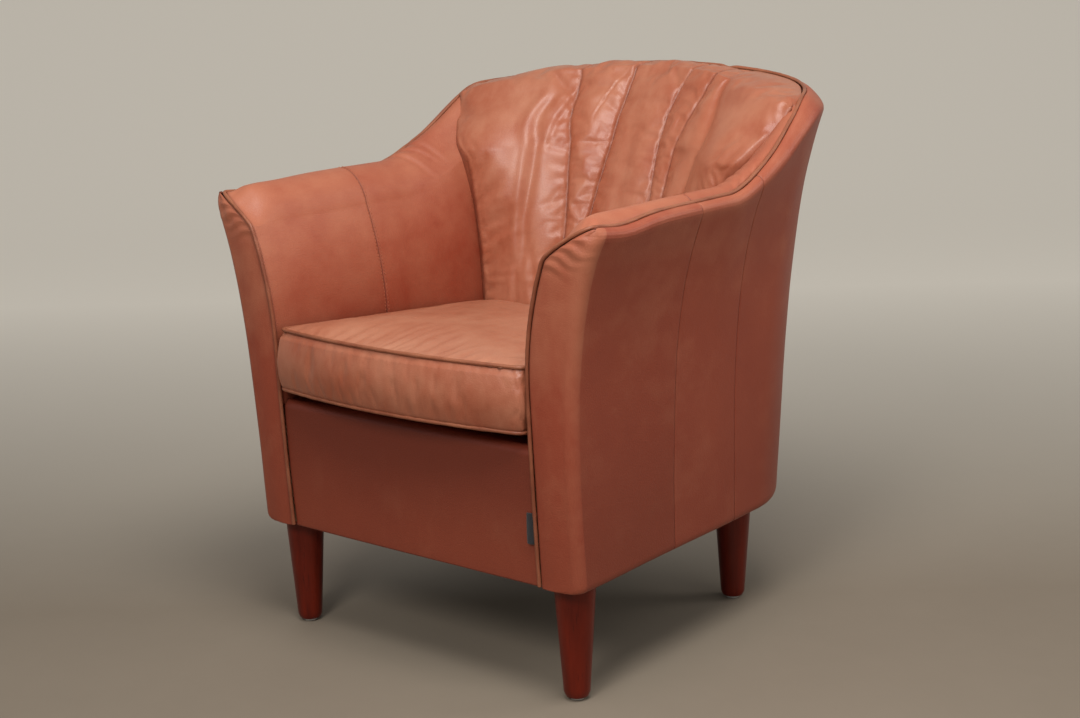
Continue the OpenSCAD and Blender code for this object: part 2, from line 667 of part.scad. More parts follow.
// Piping from the foot of an arm's front face, over its top and along the rim to the middle of the back
front_piping_shares = [0.004, 0.12, 0.26, 0.4, 0.52, 0.62, 0.71, 0.79, 0.86, roll_share, 0.932, 0.955,
    0.975, 0.99, 1];
rim_stations = concat([at_y(rim_start_y)], [for (v = [0.3, 0.65]) v * sweep_stations[0]], sweep_stations, [1],
    corner_stations, [2.5, 2.998]);
module rim_piping(left) {
    lift = piping_r / 4;
    path = concat([for (q = front_piping_shares) [half_w(q) - face_in(q), front_y(q), level_z(0, q)]],
        [for (t = rim_stations) let(p = plan(t, 1, piping_in)) [p[0], p[1], rim_z(t) + lift]]);
    count = len(front_piping_shares);
    sides = [for (i = [0:len(path) - 1])
        i < count - 1 ? [0, -1, 0] : i == count - 1 ? [0, -1, 1] : [0, 0, 1]];
    color(leather_colour) at_origin() mirrored_pair(left) tube(path, sides, piping_r);
}
module rim_piping_left() { rim_piping(true); }
module rim_piping_right() { rim_piping(false); }

// The back cushion: station and share of its side edge on the lining at a share b of its height
function edge_station(b) = 1.15 + 0.18 * ease((b - 0.78) / 0.22);
function edge_share_at(b) = min(0.995,
    share_at(edge_station(b), cushion_foot_z + b * (cushion_rise - edge_drop)));
function channel_at(a) = [for (i = [0:len(channel_shares) - 2])
    if (a >= channel_shares[i] && a <= channel_shares[i + 1]) i][0];
function channel_bump(a) = let(i = channel_at(a), c = channel_shares)
    channel_rise * channel_depth_shares[i] * pow(max(0, sin(180 * (a - c[i]) / (c[i + 1] - c[i]))), 0.6);
function edge_point(b) = let(q = edge_share_at(b), t = edge_station(b))
    wall_point(t, q, inner_in(t, q) + cushion_edge_in);
function face_at(a, b) = let(e = edge_point(min(b, 1)), c = min(b, 1), m = abs(a),
    yc = back_y(1) - cushion_top_in - cushion_lean * (1 - pow(c, 1.7)),
    zc = cushion_foot_z + c * cushion_rise,
    bump = channel_bump(a) * ease((c - 0.16) / 0.16) * (c > 0.9 ? 1 - 0.5 * (c - 0.9) / 0.1 : 1))
    [a * e[0], e[1] + (yc - e[1]) * (1 - pow(m, 1.5)) - bump,
    zc - (zc - e[2]) * pow(m, 2.5) + bump * c * 0.3];
function back_station(a, b) = mix(3, edge_station(min(b, 1)), abs(a));
function crest_point(a, b) = let(t = back_station(a, 1), p = wall_point(t, 1, inner_end_in + gap))
    [a < 0 ? -p[0] : p[0], p[1], p[2] + cushion_top_lift];
function cushion_face(a, b, depth) = let(over_top = max(0, (b - 1) / 0.12),
    turn = 80 * ease((b - 0.85) / 0.22), m = mix(face_at(a, b), crest_point(a, b), over_top))
    [m[0], m[1] + depth * cos(turn), m[2] + cushion_top_lift * sin(180 * over_top) - depth * sin(turn)];
// The side edges turn back to the lining
function return_point(side, b, depth) = let(over_top = max(0, (b - 1) / 0.12), q = edge_share_at(b),
    t = edge_station(min(b, 1)), p = wall_point(t, q, inner_in(t, q) + return_gap), k = crest_point(1, b),
    m = mix(p, k - [0, 0, cushion_top_lift], over_top)) [side * m[0], m[1] + depth, m[2] - depth * over_top];
function cover_line(b, depth) = concat([return_point(-1, b, depth)],
    [for (a = cushion_spans) cushion_face(a, b, depth)], [return_point(1, b, depth)]);
rear_turns = [0, 22, 44, 62, 70, 78];
rear_stations = [1.35, 1.48, 1.61, 1.74, 1.87, 2, 2.2, 2.4, 2.6, 2.9];
function rear_share(t, row) = row == 0 ? share_at(t, cushion_foot_z) : row < len(inner_foot_shares) ?
    inner_foot_shares[row] : roll_shares(t, [rear_turns[row - len(inner_foot_shares)]])[0];
function rear_line(row) = let(edge = edge_station(min(cushion_rows[row], 1)) + 0.01,
    half = concat([edge], rear_stations), stations = concat([for (t = half) 6 - t], flip(half)))
    [for (t = stations) let(q = rear_share(t, row))
        wall_point(t, q, inner_in(t, q) + (mirrored(t) < 2 ? lining_gap : -leather))];
cushion_columns = [for (i = [0:len(channel_shares) - 2], s = [0, 1 / 3, 2 / 3])
    mix(channel_shares[i], channel_shares[i + 1], s)];
cushion_spans = concat(cushion_columns, [1]);
cushion_rows = [0, 0.15, 0.3, 0.45, 0.58, 0.7, 0.8, 0.88, 0.94, 1, 1.06, 1.12];
module back_cushion_cover() {
    color(leather_colour) at_origin()
        sheet([for (b = cushion_rows) cover_line(b, 0)],
            [for (b = cushion_rows) cover_line(b, leather)], true);
}
module back_cushion_fill() {
    color(wadding_colour) at_origin()
        sheet([for (b = cushion_rows) [for (a = cushion_spans) cushion_face(a, b, leather + 2 * gap)]],
            [for (row = [0:len(cushion_rows) - 1]) rear_line(row)], true);
}

// The seat cushion: a grid across (a from -1 to 1) and from front to back (b from 0 to 1)
function seat_half(b, inset) = let(nose = seat_nose_r / seat_len, tail = seat_corner_r / seat_len,
    f = max(0, 1 - b / nose), r = max(0, 1 - (1 - b) / tail)) seat_half_w - inset -
    seat_draw * sin(180 * b) - seat_nose_r * (1 - sqrt(1 - f * f)) - seat_corner_r * (1 - sqrt(1 - r * r));
function seat_y(a, b, inset) = mix(seat_front_y - seat_bow * (1 - a * a) + inset,
    seat_front_y + seat_len - inset, b);
function seat_swell(a, b) = pow(max(0, 1 - a * a), 0.7) * pow(max(0, 1 - pow(2 * b - 1, 2)), 0.6);
function seat_at(a, b, inset, z) = [a * seat_half(b, inset), seat_y(a, b, inset), z];
seat_across = [-1, -0.85, -0.6, -0.3, 0, 0.3, 0.6, 0.85, 1];
seat_along = [0, 0.03, 0.12, 0.3, 0.5, 0.7, 0.85, 0.93, 0.975, 1];
function seat_top_grid(depth) = [for (b = seat_along) [for (a = seat_across)
    seat_at(a, b, panel_in, seat_top_z + leather / 2 - depth + seat_crown * seat_swell(a, b))]];
function seat_foot_grid(depth) = [for (b = seat_along) [for (a = seat_across)
    seat_at(a, b, panel_in,
        seat_foot_z - leather / 2 + depth - (seat_under - leather / 2) * seat_swell(a, b))]];
module seat_cushion_top() {
    color(leather_colour) at_origin() seat_plane() sheet(seat_top_grid(leather), seat_top_grid(0));
}
module seat_cushion_bottom() {
    color(leather_colour) at_origin() seat_plane() sheet(seat_foot_grid(0), seat_foot_grid(leather));
}
module seat_cushion_foam() {
    color(foam_colour) at_origin() seat_plane()
        sheet(seat_foot_grid(leather + gap), seat_top_grid(leather + gap));
}
function seat_loop(inset, z) = concat(
    [for (a = [-1, -0.85, -0.5, -0.15, 0.15, 0.5, 0.85]) seat_at(a, 0, inset, z)],
    [for (b = [0, 0.03, 0.15, 0.4, 0.65, 0.85, 0.93, 0.975]) seat_at(1, b, inset, z)],
    [for (a = [1, 0.5, 0, -0.5]) seat_at(a, 1, inset, z)],
    [for (b = [1, 0.975, 0.93, 0.85, 0.65, 0.4, 0.15, 0.03]) seat_at(-1, b, inset, z)]);
seat_bulge_shares = concat([0.8, 1, 1, 1, 1, 1, 1], [0.8, 0.4, 0.35, 0.35, 0.35, 0.25, 0.1, 0], [0, 0, 0, 0],
    [0, 0, 0.1, 0.25, 0.35, 0.35, 0.35, 0.4]);
function border_loop(v, depth) = let(z = mix(seat_foot_z + cord_r + gap, seat_top_z - cord_r - gap, v))
    [for (i = [0:len(seat_bulge_shares) - 1])
        seat_loop(depth - seat_bulge * seat_bulge_shares[i] * sin(180 * v), z)[i]];
border_rows = [0, 0.3, 0.7, 1];
module seat_cushion_border() {
    outer = [for (v = border_rows) border_loop(v, 0)];
    inner = [for (v = border_rows) border_loop(v, leather)];
    color(leather_colour) at_origin() seat_plane() band(outer, inner);
}
// The front-most point of the border and the rear-most face of the body set the origin
front_point = border_loop(border_rows[1], 0)[3];
front_reach = -front_point[1] * cos(seat_tilt) - front_point[2] * sin(seat_tilt);
rear_reach = back_y(edge_share);
origin_y = (rear_reach - front_reach) / 2;

// A closed ring of sheet between outer and inner loops
module band(outer, inner) {
    rows = len(outer);
    n = len(outer[0]);
    points = concat([for (r = outer, p = r) p], [for (r = inner, p = r) p]);
    shift = rows * n;
    faces = concat([for (r = [0:rows - 2], k = [0:n - 1])
        let(a = r * n + k, b = r * n + (k + 1) % n, c = a + n, d = b + n)
        each [[a, d, b], [a, c, d], [shift + a, shift + b, shift + d], [shift + a, shift + d, shift + c]]],
        [for (k = [0:n - 1]) let(a = k, b = (k + 1) % n) each [[a, b, shift + b], [a, shift + b, shift + a]]],
        [for (k = [0:n - 1]) let(a = shift - n + k, b = shift - n + (k + 1) % n)
        each [[a, shift + b, b], [a, shift + a, shift + b]]]);
    closed_shape(points, faces);
}
module seat_cushion_piping() {
    color(leather_colour) at_origin() seat_plane() for (z = [seat_foot_z, seat_top_z]) {
        path = seat_loop(cord_in, z);
        tube(path, [for (p = path) [0, 0, 1]], cord_r, closed = true);
    }
}
module seat_cushion_zip() {
    color(steel_colour) at_origin() seat_plane()
        translate([-zip_w / 2, seat_front_y + seat_len + gap, mix(seat_foot_z, seat_top_z, 0.5) - zip_h / 2])
        cube([zip_w, zip_t, zip_h]);
}

// Turned legs with nailed glides, each hung on a bolt in its corner block
module leg(x, y) {
    color(mahogany_colour) at_origin() translate([x, y, glide_h]) difference() {
        cylinder(d1 = leg_foot_d, d2 = leg_top_d, h = leg_top_z - glide_h);
        translate([0, 0, leg_top_z - glide_h - bolt_in_leg])
            cylinder(d = bolt_d + 2 * gap, h = bolt_in_leg + over);
    }
}
module leg_front_left() { leg(-front_leg_x, front_leg_y); }
module leg_front_right() { leg(front_leg_x, front_leg_y); }
module leg_back_left() { leg(-back_leg_x, back_leg_y); }
module leg_back_right() { leg(back_leg_x, back_leg_y); }
module each_leg() {
    at_origin() for (p = [[-front_leg_x, front_leg_y], [front_leg_x, front_leg_y],
        [-back_leg_x, back_leg_y], [back_leg_x, back_leg_y]]) translate([p[0], p[1], 0]) children();
}
module glides() {
    color("white") each_leg() cylinder(d1 = glide_foot_d, d2 = glide_d, h = glide_h);
}
module hanger_bolts() {
    low = leg_top_z - bolt_in_leg + gap;
    color(steel_colour) each_leg() translate([0, 0, low])
        cylinder(d = bolt_d, h = frame_z + block_h + tee_t + over - low);
}
module tee_nuts() {
    color(steel_colour) each_leg() translate([0, 0, frame_z + block_h]) difference() {
        cylinder(d = tee_d, h = tee_t);
        translate([0, 0, -over]) cylinder(d = bolt_d + 2 * gap, h = tee_t + 2 * over);
    }
}

// Cloth under the body, with a hole for each bolt
module dust_cover() {
    inset = bottom_tuck + leather + gap;
    stations = over_back(concat([at_y(board_front_y), 1], corner_stations));
    outline = [for (t = stations) plan(t, 0, inset)];
    color(webbing_colour) at_origin() difference() {
        translate([0, 0, cloth_z]) linear_extrude(dust_cloth_t) polygon(outline);
        for (left = [true, false]) mirrored_pair(left)
            for (p = [[front_leg_x, front_leg_y], [back_leg_x, back_leg_y]])
                translate([p[0], p[1], cloth_z - over])
                    cylinder(d = bolt_d + 2 * gap, h = dust_cloth_t + 2 * over);
    }
}

// Bare folded tag sewn into the front seam
module seam_tag() {
    q = share_at(0, tag_z + tag_h / 2);
    x = half_w(q) - face_in(q) - piping_r - gap;
    color([0.08, 0.08, 0.09]) at_origin() translate([x - tag_w, front_y(q), tag_z])
        cube([tag_w, leather, tag_h]);
}

front_rail();
side_rail_left();
side_rail_right();
back_base_rail();
seat_rear_rail();
arm_front_former_left();
arm_front_former_right();
arm_top_rail_left();
arm_top_rail_right();
arm_tack_rail_left();
arm_tack_rail_right();
back_top_rail();
back_post_left();
back_post_right();
corner_blocks();
outer_board_left();
outer_board_right();
back_board();
inner_arm_board_left();
inner_arm_board_right();
back_webbing();
seat_webbing();
deck_pad();
deck_cloth();
arm_pad_left();
arm_pad_right();
front_pad_left();
front_pad_right();
back_pad();
outer_wadding();
arm_cover_left();
arm_cover_right();
side_band_left();
side_band_right();
back_cover();
inner_arm_front_left();
inner_arm_front_right();
inner_arm_rear_left();
inner_arm_rear_right();
apron();
rim_piping_left();
rim_piping_right();
back_cushion_cover();
back_cushion_fill();
seat_cushion_top();
seat_cushion_bottom();
seat_cushion_border();
seat_cushion_piping();
seat_cushion_foam();
seat_cushion_zip();
leg_front_left();
leg_front_right();
leg_back_left();
leg_back_right();
glides();
hanger_bolts();
tee_nuts();
dust_cover();
seam_tag();
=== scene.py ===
import bpy, json, math
import numpy as np
from mathutils import Matrix, Vector


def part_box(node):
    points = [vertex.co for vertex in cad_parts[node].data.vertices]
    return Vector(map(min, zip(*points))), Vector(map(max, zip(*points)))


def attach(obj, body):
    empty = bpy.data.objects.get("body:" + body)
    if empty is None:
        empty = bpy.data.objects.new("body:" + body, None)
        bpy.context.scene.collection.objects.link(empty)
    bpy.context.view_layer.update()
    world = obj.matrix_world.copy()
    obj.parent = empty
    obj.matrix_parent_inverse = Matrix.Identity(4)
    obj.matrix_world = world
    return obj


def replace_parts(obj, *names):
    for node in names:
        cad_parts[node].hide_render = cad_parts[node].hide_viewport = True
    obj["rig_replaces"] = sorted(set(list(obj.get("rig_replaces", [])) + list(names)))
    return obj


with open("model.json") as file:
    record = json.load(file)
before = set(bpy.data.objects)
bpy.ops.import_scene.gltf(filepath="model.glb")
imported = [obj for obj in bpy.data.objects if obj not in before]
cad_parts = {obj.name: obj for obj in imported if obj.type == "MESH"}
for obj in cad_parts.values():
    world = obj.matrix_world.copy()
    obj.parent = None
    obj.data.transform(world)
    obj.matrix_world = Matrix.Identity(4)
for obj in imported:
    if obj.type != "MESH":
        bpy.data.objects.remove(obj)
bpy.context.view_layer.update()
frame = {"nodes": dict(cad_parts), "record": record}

scene = bpy.context.scene

# sizes of the tub in millimetres, the same as the solids'
tub = {
    "base": 155, "arm": 613, "backTop": 748, "halfWidth": 278, "flare": 52, "depth": 585, "rake": 58,
    "corner": 180, "seamFront": 205, "seamRear": 348, "lean": 17, "inside": 216, "insideFlare": 30,
    "flareShare": 0.55, "backWall": 72, "edgeRoll": 17, "rollShare": 0.908, "cord": 2.6, "gap": 0.3,
    "frontRoll": 13, "faceBow": 1.5, "frontCorner": 15, "puff": 8, "middle": 296.271,
    # in the leather only: crown of the padded arm, sag of its front corner, dip before the back
    "crown": 10, "droop": 6.5, "droopAt": 50, "droopReach": 48, "sink": 8, "sinkAt": 415, "sinkReach": 55,
}
cordIn = tub["edgeRoll"] + tub["gap"] + tub["cord"]
endIn = cordIn + tub["cord"] + tub["gap"]
frontSeam, rearSeam = tub["seamFront"], tub["seamRear"]
armRise = tub["arm"] - tub["base"]


def clamp(v):
    return np.clip(v, 0, 1)


def positive(v):
    return np.clip(v, 0, None)


def ease(v):
    c = clamp(v)
    return c * c * (3 - 2 * c)


def mix(a, b, v):
    return a + (b - a) * v


def bell(v):
    return np.exp(-v ** 2)


def decay(v):
    return np.exp(-v)


def nearer(a, b):
    return np.minimum(a, b)


# ---- the tub: t is the station along the rim, 0 at the right arm's front, 1 at the rear seam, 2 past the
# corner, 3 in the middle of the back and 6 at the left arm's front; q is the share of the height
def mirrored(t):
    return np.where(t > 3, 6 - t, t)


def halfWidth(q):
    return tub["halfWidth"] + tub["flare"] * q ** 4


def backY(q):
    return tub["depth"] + tub["rake"] * q


def plan(t, q, inset):
    m, r = mirrored(t), tub["corner"]
    # the rim's rear corners are eased inwards
    inset = inset + bell((m - 1.5) / 0.34) * (3 * ease((q - 0.4) / 0.5) + 15 * ease((q - 0.955) / 0.045))
    cornerX, cornerY = halfWidth(q) - r, backY(q) - r
    flat = cornerY - rearSeam
    run = (m - 1) * (flat + r * math.pi / 2)
    turn = positive((run - flat) / r)
    x = np.where(run < flat, halfWidth(q) - inset, cornerX + (r - inset) * np.cos(turn))
    y = np.where(run < flat, rearSeam + run, cornerY + (r - inset) * np.sin(turn))
    x = np.where(m <= 1, halfWidth(q) - inset, np.where(m <= 2, x, cornerX * (3 - m)))
    y = np.where(m <= 1, m * rearSeam, np.where(m <= 2, y, backY(q) - inset))
    return np.where(t > 3, -x, x), y


def rimRun(t):  # millimetres along the rim from the arm's front
    m, r = mirrored(t), tub["corner"]
    bend = backY(1) - r - rearSeam + r * math.pi / 2
    behind = rearSeam + bend + (m - 2) * (halfWidth(1) - r)
    return np.where(m <= 1, m * rearSeam, np.where(m <= 2, rearSeam + (m - 1) * bend, behind))


def rimZ(t):
    s, full = rimRun(t), rimRun(np.array(3.0))
    rise = 0.78 * ease((s - 280) / 250) + 0.22 * ease((s - 480) / (full - 480))
    sink = tub["sink"] * bell((s - tub["sinkAt"]) / tub["sinkReach"])
    return tub["arm"] + (tub["backTop"] - tub["arm"]) * rise - sink


def rimDroop(run):  # the cord and the outer leather sag behind the arm's front corner
    return tub["droop"] * bell((run - tub["droopAt"]) / tub["droopReach"])


def levelZ(t, q):
    return tub["base"] + q * (rimZ(t) - tub["base"])


def shareAt(t, z):
    return (z - tub["base"]) / (rimZ(t) - tub["base"])


def innerX(q):
    flare = positive(q - tub["flareShare"]) / (tub["rollShare"] - tub["flareShare"])
    return tub["inside"] + tub["insideFlare"] * flare ** 2


def rearBlend(t):
    return ease((mirrored(t) - 0.75) / 0.4)


def wallIn(t, q):
    return mix(halfWidth(q) - innerX(q), tub["backWall"], rearBlend(t))


def rollBend(t):
    return 2 - 0.9 * (1 - ease((mirrored(t) + 0.03) / 0.15)) - 0.8 * rearBlend(t)


def rollAcross(t, q):  # share of the way up the roll, its bend, and the width that is left there
    v, n = clamp((q - tub["rollShare"]) / (1 - tub["rollShare"])), rollBend(t)
    return v, n, positive(1 - v ** n) ** (1 / n)


def innerIn(t, q, end=endIn):
    v, n, across = rollAcross(t, q)
    foot = wallIn(t, np.full_like(q, tub["rollShare"]))
    return np.where(v <= 0, wallIn(t, q), end + (foot - end) * across)


def rollLift(t, q):  # how far the padded roll of the lining stands up
    v, n, across = rollAcross(t, q)
    m = mirrored(t)
    puff = tub["puff"] * positive(n - 1.1) / 0.9 * np.sin(math.pi * v)
    along = ease((m + 0.03) / 0.09) * (1 - ease((m - 1.1) / 0.4))
    crown = tub["crown"] * along * np.sin(math.pi * across ** 0.7)
    return puff + (crown - rimDroop(rimRun(t)) * (1 - ease(across / 0.5))) * (v > 0)


def frontY(q):
    r = clamp((q - 0.9) / 0.1)
    return tub["frontRoll"] * (1 - np.sqrt(1 - r * r)) - tub["lean"] * (1 - (1 - nearer(q, 1)) ** 2)


def faceIn(q):
    return innerIn(np.zeros_like(q), q, cordIn)


stationTable = np.linspace(0, 6, 2401)
runTable = rimRun(stationTable)
runTable = np.where(stationTable > 3, 2 * runTable[1200] - runTable, runTable)


def stationAt(run):
    return np.interp(run, runTable, stationTable)


# ---- smooth seeded noise on arrays of points, for the waves and wrinkles of the leather
cells = 512
dice = np.random.default_rng(41)
shuffle = dice.permutation(cells)
slopes = dice.normal(size=(cells, 3))
slopes /= np.linalg.norm(slopes, axis=1)[:, None]


def wave(points, size):
    p = np.asarray(points, float) / size
    cell = np.floor(p).astype(int)
    part = p - cell
    soft = part ** 3 * (part * (part * 6 - 15) + 10)
    total = np.zeros(len(p))
    for corner in np.ndindex(2, 2, 2):
        c = cell + corner
        pick = shuffle[c[:, 0] % cells]
        for axis in (1, 2):
            pick = shuffle[(pick + c[:, axis]) % cells]
        share = np.prod(np.abs(1 - np.array(corner) - soft), axis=1)
        total += share * np.einsum("ij,ij->i", slopes[pick], part - corner)
    return total * 1.6


def gathers(along, away, period, reach, offset=0.0):  # small puckers that run out from a seam
    lines = wave(np.stack([along, away * 0.12, np.full_like(along, offset)], 1), period)
    return lines * decay(positive(away) / reach)


def bodyWaves(p):  # slow hand-made unevenness, in millimetres
    return wave(p * (1, 1, 0.6), 110) * 0.9 + wave(p * (1, 1, 0.8) + 300, 46) * 0.25


def ridge(line, breadth, lag, share):  # a fold with a hollow beside it
    return bell(line / breadth) - share * bell((line - breadth * lag) / breadth)


# ---- making and finishing pieces
def pickOnly(*pieces):
    bpy.ops.object.select_all(action="DESELECT")
    for piece in pieces:
        piece.select_set(True)
    bpy.context.view_layer.objects.active = pieces[0]


def editAll(piece, *steps):  # mesh steps that start with every face selected
    pickOnly(piece)
    bpy.ops.object.mode_set(mode="EDIT")
    bpy.ops.mesh.select_all(action="SELECT")
    for step in steps:
        step()
    bpy.ops.object.mode_set(mode="OBJECT")


def flip(piece):
    editAll(piece, bpy.ops.mesh.flip_normals)


def facesOut(piece):
    editAll(piece, lambda: bpy.ops.mesh.normals_make_consistent(inside=False))


def named(name):
    piece = bpy.context.object
    piece.name = piece.data.name = name
    return piece


def linked(name, data):
    piece = bpy.data.objects.new(name, data)
    bpy.context.collection.objects.link(piece)
    return piece


def coordsOf(piece, kind="co"):
    co = np.empty(len(piece.data.vertices) * 3)
    piece.data.vertices.foreach_get(kind, co)
    return co.reshape(-1, 3)


def normalsOf(piece):
    piece.data.update()
    return coordsOf(piece, "normal")


def setCoords(piece, points):
    piece.data.vertices.foreach_set("co", np.ascontiguousarray(points, dtype=float).ravel())
    piece.data.update()


def metres(x, y, z):
    return np.stack([x, y - tub["middle"], z], 1) * 0.001


def spot(x, y, z):  # the same for one place
    return x / 1000, (y - tub["middle"]) / 1000, z / 1000


def newGrid(name, columns, rows):
    bpy.ops.mesh.primitive_grid_add(x_subdivisions=columns, y_subdivisions=rows, size=1)
    return named(name)


def gridPiece(name, columns, rows, place):  # the place function may give more arrays after the points
    piece = newGrid(name, columns, rows)
    u, v = coordsOf(piece)[:, :2].T + 0.5
    points, *more = place(u, v)
    setCoords(piece, points)
    return piece, u, v, *more


def boxPiece(name, columns, rows, layers, place):  # a grid extruded into a closed box, then placed
    piece = newGrid(name, columns, rows)
    step = {"value": (0, 0, 1 / layers)}
    editAll(piece, *[lambda: bpy.ops.mesh.extrude_region_move(TRANSFORM_OT_translate=step)] * layers)
    facesOut(piece)
    u, v, w = coordsOf(piece).T + [[0.5], [0.5], [0]]
    w = clamp(w)
    setCoords(piece, place(u, v, w))
    return piece, u, v, w


def wallSheet(away, *grid):  # a grid whose faces point away from, or towards, the middle of the tub
    piece, *arrays = gridPiece(*grid)
    ray = coordsOf(piece) - (0, 0, 0.55)
    if (np.einsum("ij,ij->i", normalsOf(piece), ray).sum() > 0) != away:
        flip(piece)
    return piece, coordsOf(piece) * 1000, *arrays


def push(piece, amount):  # moves points along their normals, in millimetres
    setCoords(piece, coordsOf(piece) + normalsOf(piece) * (amount * 0.001)[:, None])


def paint(piece, **layers):
    for name, values in layers.items():
        layer = piece.data.attributes.new(name, "FLOAT", "POINT")
        layer.data.foreach_set("value", clamp(values).astype(np.float32))


def readBack(piece, name):
    values = np.empty(len(piece.data.vertices), dtype=np.float32)
    piece.data.attributes[name].data.foreach_get("value", values)
    return values.astype(float)


def useModifier(piece, name, kind, **settings):
    pickOnly(piece)
    modifier = piece.modifiers.new(name, kind)
    for key, value in settings.items():
        setattr(modifier, key, value)
    bpy.ops.object.modifier_apply(modifier=modifier.name)


def softEdges(piece, width, angle, segments=3):
    useModifier(piece, "soft edges", "BEVEL", width=width, segments=segments, limit_method="ANGLE",
                angle_limit=math.radians(angle))


def settle(piece, slot, *nodes, body="chair", material=None, smooth=True):
    piece.data.materials.clear()
    piece.data.materials.append(material or slotMaterials[slot])
    for face in piece.data.polygons:
        face.use_smooth = smooth
    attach(piece, body)
    if nodes:
        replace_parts(piece, *nodes)
    return piece


def leatherSheet(piece, *nodes):
    useModifier(piece, "leather thickness", "SOLIDIFY", thickness=0.0013, offset=-1)
    return settle(piece, "body_leather", *nodes)


def mirrorCopy(piece, name, slot, *nodes, material=None):
    twin = piece.copy()
    twin.data = piece.data.copy()
    twin.name = twin.data.name = name
    twin.pop("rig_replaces", None)  # it stands for its own nodes only
    bpy.context.collection.objects.link(twin)
    setCoords(twin, coordsOf(piece) * (-1, 1, 1))
    flip(twin)
    settle(twin, slot, *nodes, material=material)


def joined(name, pieces):
    pickOnly(*pieces)
    bpy.ops.object.join()
    bpy.ops.object.transform_apply(location=True, rotation=True, scale=True)
    return named(name)


def tubePiece(name, path, closed=False):  # a covered cord along points in metres
    curve = bpy.data.curves.new(name, "CURVE")
    curve.dimensions = "3D"
    curve.bevel_depth = tub["cord"] * 0.001
    curve.bevel_resolution = 3
    curve.use_fill_caps = not closed
    line = curve.splines.new("POLY")
    line.points.add(len(path) - 1)
    line.points.foreach_set("co", np.hstack([path, np.ones((len(path), 1))]).ravel())
    line.use_cyclic_u = closed
    pickOnly(linked(name, curve))
    bpy.ops.object.convert(target="MESH")
    return named(name)


def lengthsOf(points):
    return np.concatenate([[0], np.cumsum(np.linalg.norm(np.diff(points, axis=0), axis=1))])


def pointsAt(where, reach, points):
    return np.stack([np.interp(where, reach, points[:, i]) for i in range(3)], 1)


def evenPath(points, step):  # the same line with points at even spacing
    reach = lengthsOf(points)
    return pointsAt(np.linspace(0, reach[-1], max(2, int(reach[-1] / step))), reach, points)


def relax(path, rounds, closed=False):
    for step in range(rounds):
        if closed:
            path = (np.roll(path, 1, 0) + 2 * path + np.roll(path, -1, 0)) / 4
        else:
            path[1:-1] = (path[:-2] + 2 * path[1:-1] + path[2:]) / 4
    return path


# ---- materials
class Wire:
    def __init__(self, tree, socket=None):
        self.tree, self.socket = tree, socket

    def make(self, kind, settings=None, inputs=None, output=0):
        node = self.tree.nodes.new(kind)
        for key, value in (settings or {}).items():
            setattr(node, key, value)
        for key, value in (inputs or {}).items():
            target = node.inputs[key]
            if isinstance(value, Wire):
                self.tree.links.new(value.socket, target)
            else:
                target.default_value = (*value, 1) if target.type == "RGBA" else value
        return Wire(self.tree, node.outputs[output])

    def sum(self, operation, first, second):
        return self.make("ShaderNodeMath", {"operation": operation}, {0: first, 1: second})

    def __add__(self, other): return self.sum("ADD", self, other)
    def __radd__(self, other): return self.sum("ADD", other, self)
    def __sub__(self, other): return self.sum("SUBTRACT", self, other)
    def __rsub__(self, other): return self.sum("SUBTRACT", other, self)
    def __mul__(self, other): return self.sum("MULTIPLY", self, other)

    def ramp(self, low, high):
        return self.make("ShaderNodeMapRange", {"clamp": True}, {"Value": self, "From Min": low, "From Max": high})

    def blend(self, first, second):
        return self.make("ShaderNodeMix", {"data_type": "RGBA"}, {0: self, 6: first, 7: second}, output=2)

    def mapped(self, scale, turn=(0, 0, 0)):
        return self.make("ShaderNodeMapping", None, {"Vector": self, "Rotation": turn, "Scale": scale})

    def noise(self, scale, detail, rough, **settings):
        return self.make("ShaderNodeTexNoise", settings,
                         {"Vector": self, "Scale": scale, "Detail": detail, "Roughness": rough})

    def painted(self, name):
        return self.make("ShaderNodeAttribute", {"attribute_name": name}, output="Fac")

    def bump(self, strength, depth):
        return self.make("ShaderNodeBump", None, {"Height": self, "Strength": strength, "Distance": depth})


def startMaterial(name):
    material = bpy.data.materials.new(name)
    material.use_nodes = True
    tree = material.node_tree
    place = Wire(tree).make("ShaderNodeTexCoord", output="Object")
    return material, tree.nodes["Principled BSDF"], place


def fill(shader, wires, values=None):
    for name, wire in wires.items():
        wire.tree.links.new(wire.socket, shader.inputs[name])
    for name, value in (values or {}).items():
        shader.inputs[name].default_value = value


